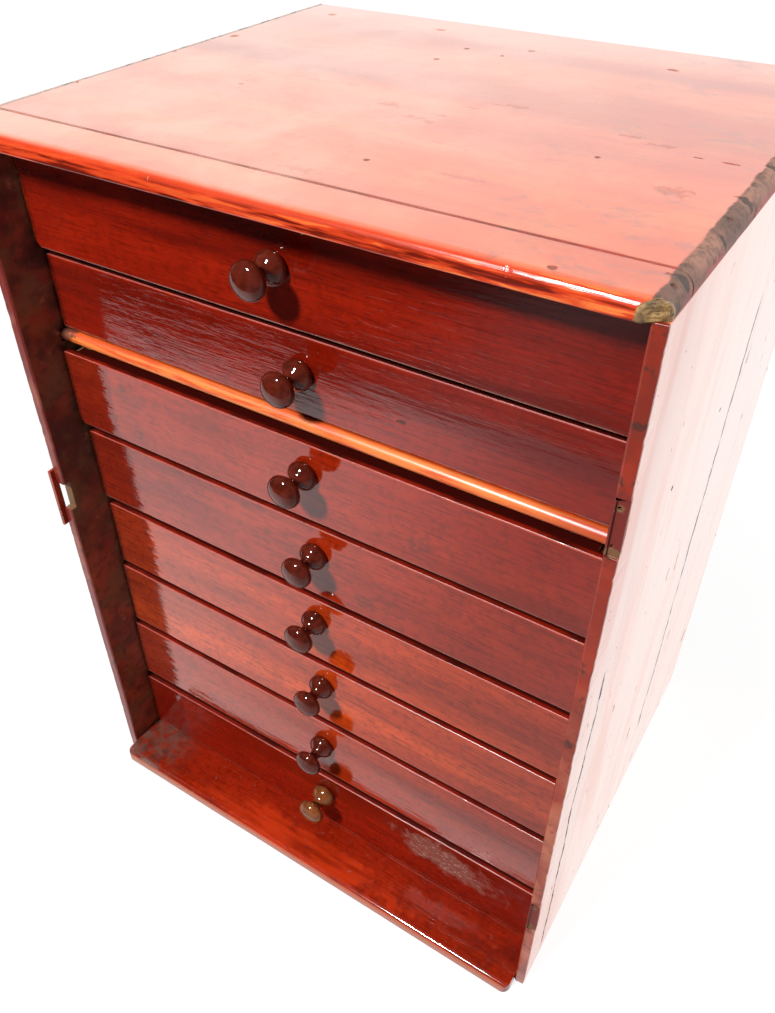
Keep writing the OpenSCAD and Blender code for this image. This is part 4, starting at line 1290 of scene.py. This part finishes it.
def add_floor(look):
    """A wide pale sheet, white to the camera but for the shadow round the chest.

    In the varnish it is shaded in front of the chest and ends a little way out, and it is reddish right
    beside the chest.
    """
    reach = 6.0
    corners = [(-reach, -reach, 0), (reach, -reach, 0), (reach, reach, 0), (-reach, reach, 0)]
    mesh = bpy.data.meshes.new("Floor")
    mesh.from_pydata(corners, [], [(0, 1, 2, 3)])
    floor = new_object("Floor", mesh)
    paper = Finish("Pale floor", 0.9, 1.2)
    path = paper.node("ShaderNodeLightPath").outputs
    glossy = path["Is Glossy Ray"]
    seen = paper.math("MAXIMUM", path["Is Camera Ray"], glossy)
    slanted = paper.math("MULTIPLY_ADD", paper.x, SHEET_SLANT, paper.y)
    ends = paper.ramp(slanted, -look.sheet_reach - SHEET_FADE, -look.sheet_reach + SHEET_FADE)
    shaded = paper.math("ADD", paper.ramp(paper.x, -0.3, 0.04, 0.0, 0.58),
                        paper.ramp(paper.y, -0.25, -0.65, 0.0, 0.12))
    shaded = paper.times(shaded, paper.ramp(paper.y, FRONT_Y, FRONT_Y - 0.05))
    held = paper.math("MAXIMUM", ends, paper.ramp(paper.x, -0.4, -0.1, 0.0, 0.3))
    held = paper.times(held, paper.math("SUBTRACT", 1.0, shaded))
    held = paper.ramp(glossy, 0.0, 1.0, 1.0, held)
    beside = paper.times(paper.ramp(paper.x, HALF_W - 1 * MM, HALF_W),
                         paper.ramp(paper.x, HALF_W, HALF_W + 80 * MM, 1.0, 0.15), glossy)
    far = paper.ramp(paper.vector("LENGTH", paper.place), 0.28, 0.62)
    white = paper.math("MAXIMUM", far, paper.times(glossy, 0.75))
    black = (0, 0, 0)
    shadow = paper.blend(white, look.floor_seen, black)
    glow = paper.blend(beside, paper.blend(white, look.floor_glow, (1, 1, 1)), look.red_bounce)
    glow = paper.blend(paper.times(seen, held), black, glow)
    paper.colour = paper.blend(seen, look.floor_colour, paper.blend(held, black, shadow))
    paper.fill(paper.shader, {"Emission Color": glow, "Emission Strength": 1.0})
    mesh.materials.append(paper.done())


class CHEST_OT_stage(ChestOperator, bpy.types.Operator):
    """Sets the camera, the lamps, the sky and the pale floor"""

    bl_idname = "chest.stage"
    bl_label = "Stage"

    def execute(self, context):
        scene, look = context.scene, studio()
        scene.view_settings.view_transform = "Standard"
        add_camera(scene, look)
        area_lamp("Key lamp", look.key_place, look.key_size, look.key_power)
        area_lamp("Back lamp", look.back_place, look.back_size, look.back_power)
        add_sky(scene, look)
        add_floor(look)
        return {"FINISHED"}


OPERATORS = (CHEST_OT_effects, CHEST_OT_top, CHEST_OT_sides, CHEST_OT_bottom, CHEST_OT_back, CHEST_OT_nails,
             CHEST_OT_fronts, CHEST_OT_boxes, CHEST_OT_knobs, CHEST_OT_stage)


class CHEST_PT_panel(bpy.types.Panel):
    """Lists the settings and the steps that dress the chest."""

    bl_label = "Specimen chest"
    bl_idname = "CHEST_PT_panel"
    bl_space_type = "VIEW_3D"
    bl_region_type = "UI"
    bl_category = "Chest"

    def draw(self, context):
        for settings in (context.scene.chest_shape, context.scene.chest_finish, context.scene.chest_studio):
            box = self.layout.box()
            for name in settings.__annotations__:
                box.prop(settings, name)
        for operator in OPERATORS:
            self.layout.operator(operator.bl_idname)


CLASSES = (ChestShape, ChestFinish, ChestStudio, *OPERATORS, CHEST_PT_panel)


def register():
    for one in CLASSES:
        bpy.utils.register_class(one)
    bpy.types.Scene.chest_shape = bpy.props.PointerProperty(type=ChestShape)
    bpy.types.Scene.chest_finish = bpy.props.PointerProperty(type=ChestFinish)
    bpy.types.Scene.chest_studio = bpy.props.PointerProperty(type=ChestStudio)


def unregister():
    for name in ("chest_shape", "chest_finish", "chest_studio"):
        delattr(bpy.types.Scene, name)
    for one in reversed(CLASSES):
        bpy.utils.unregister_class(one)


def main():
    """Dresses the whole chest."""
    register()
    for operator in OPERATORS:
        group, name = operator.bl_idname.split(".")
        getattr(getattr(bpy.ops, group), name)()


if __name__ == "__main__":
    main()
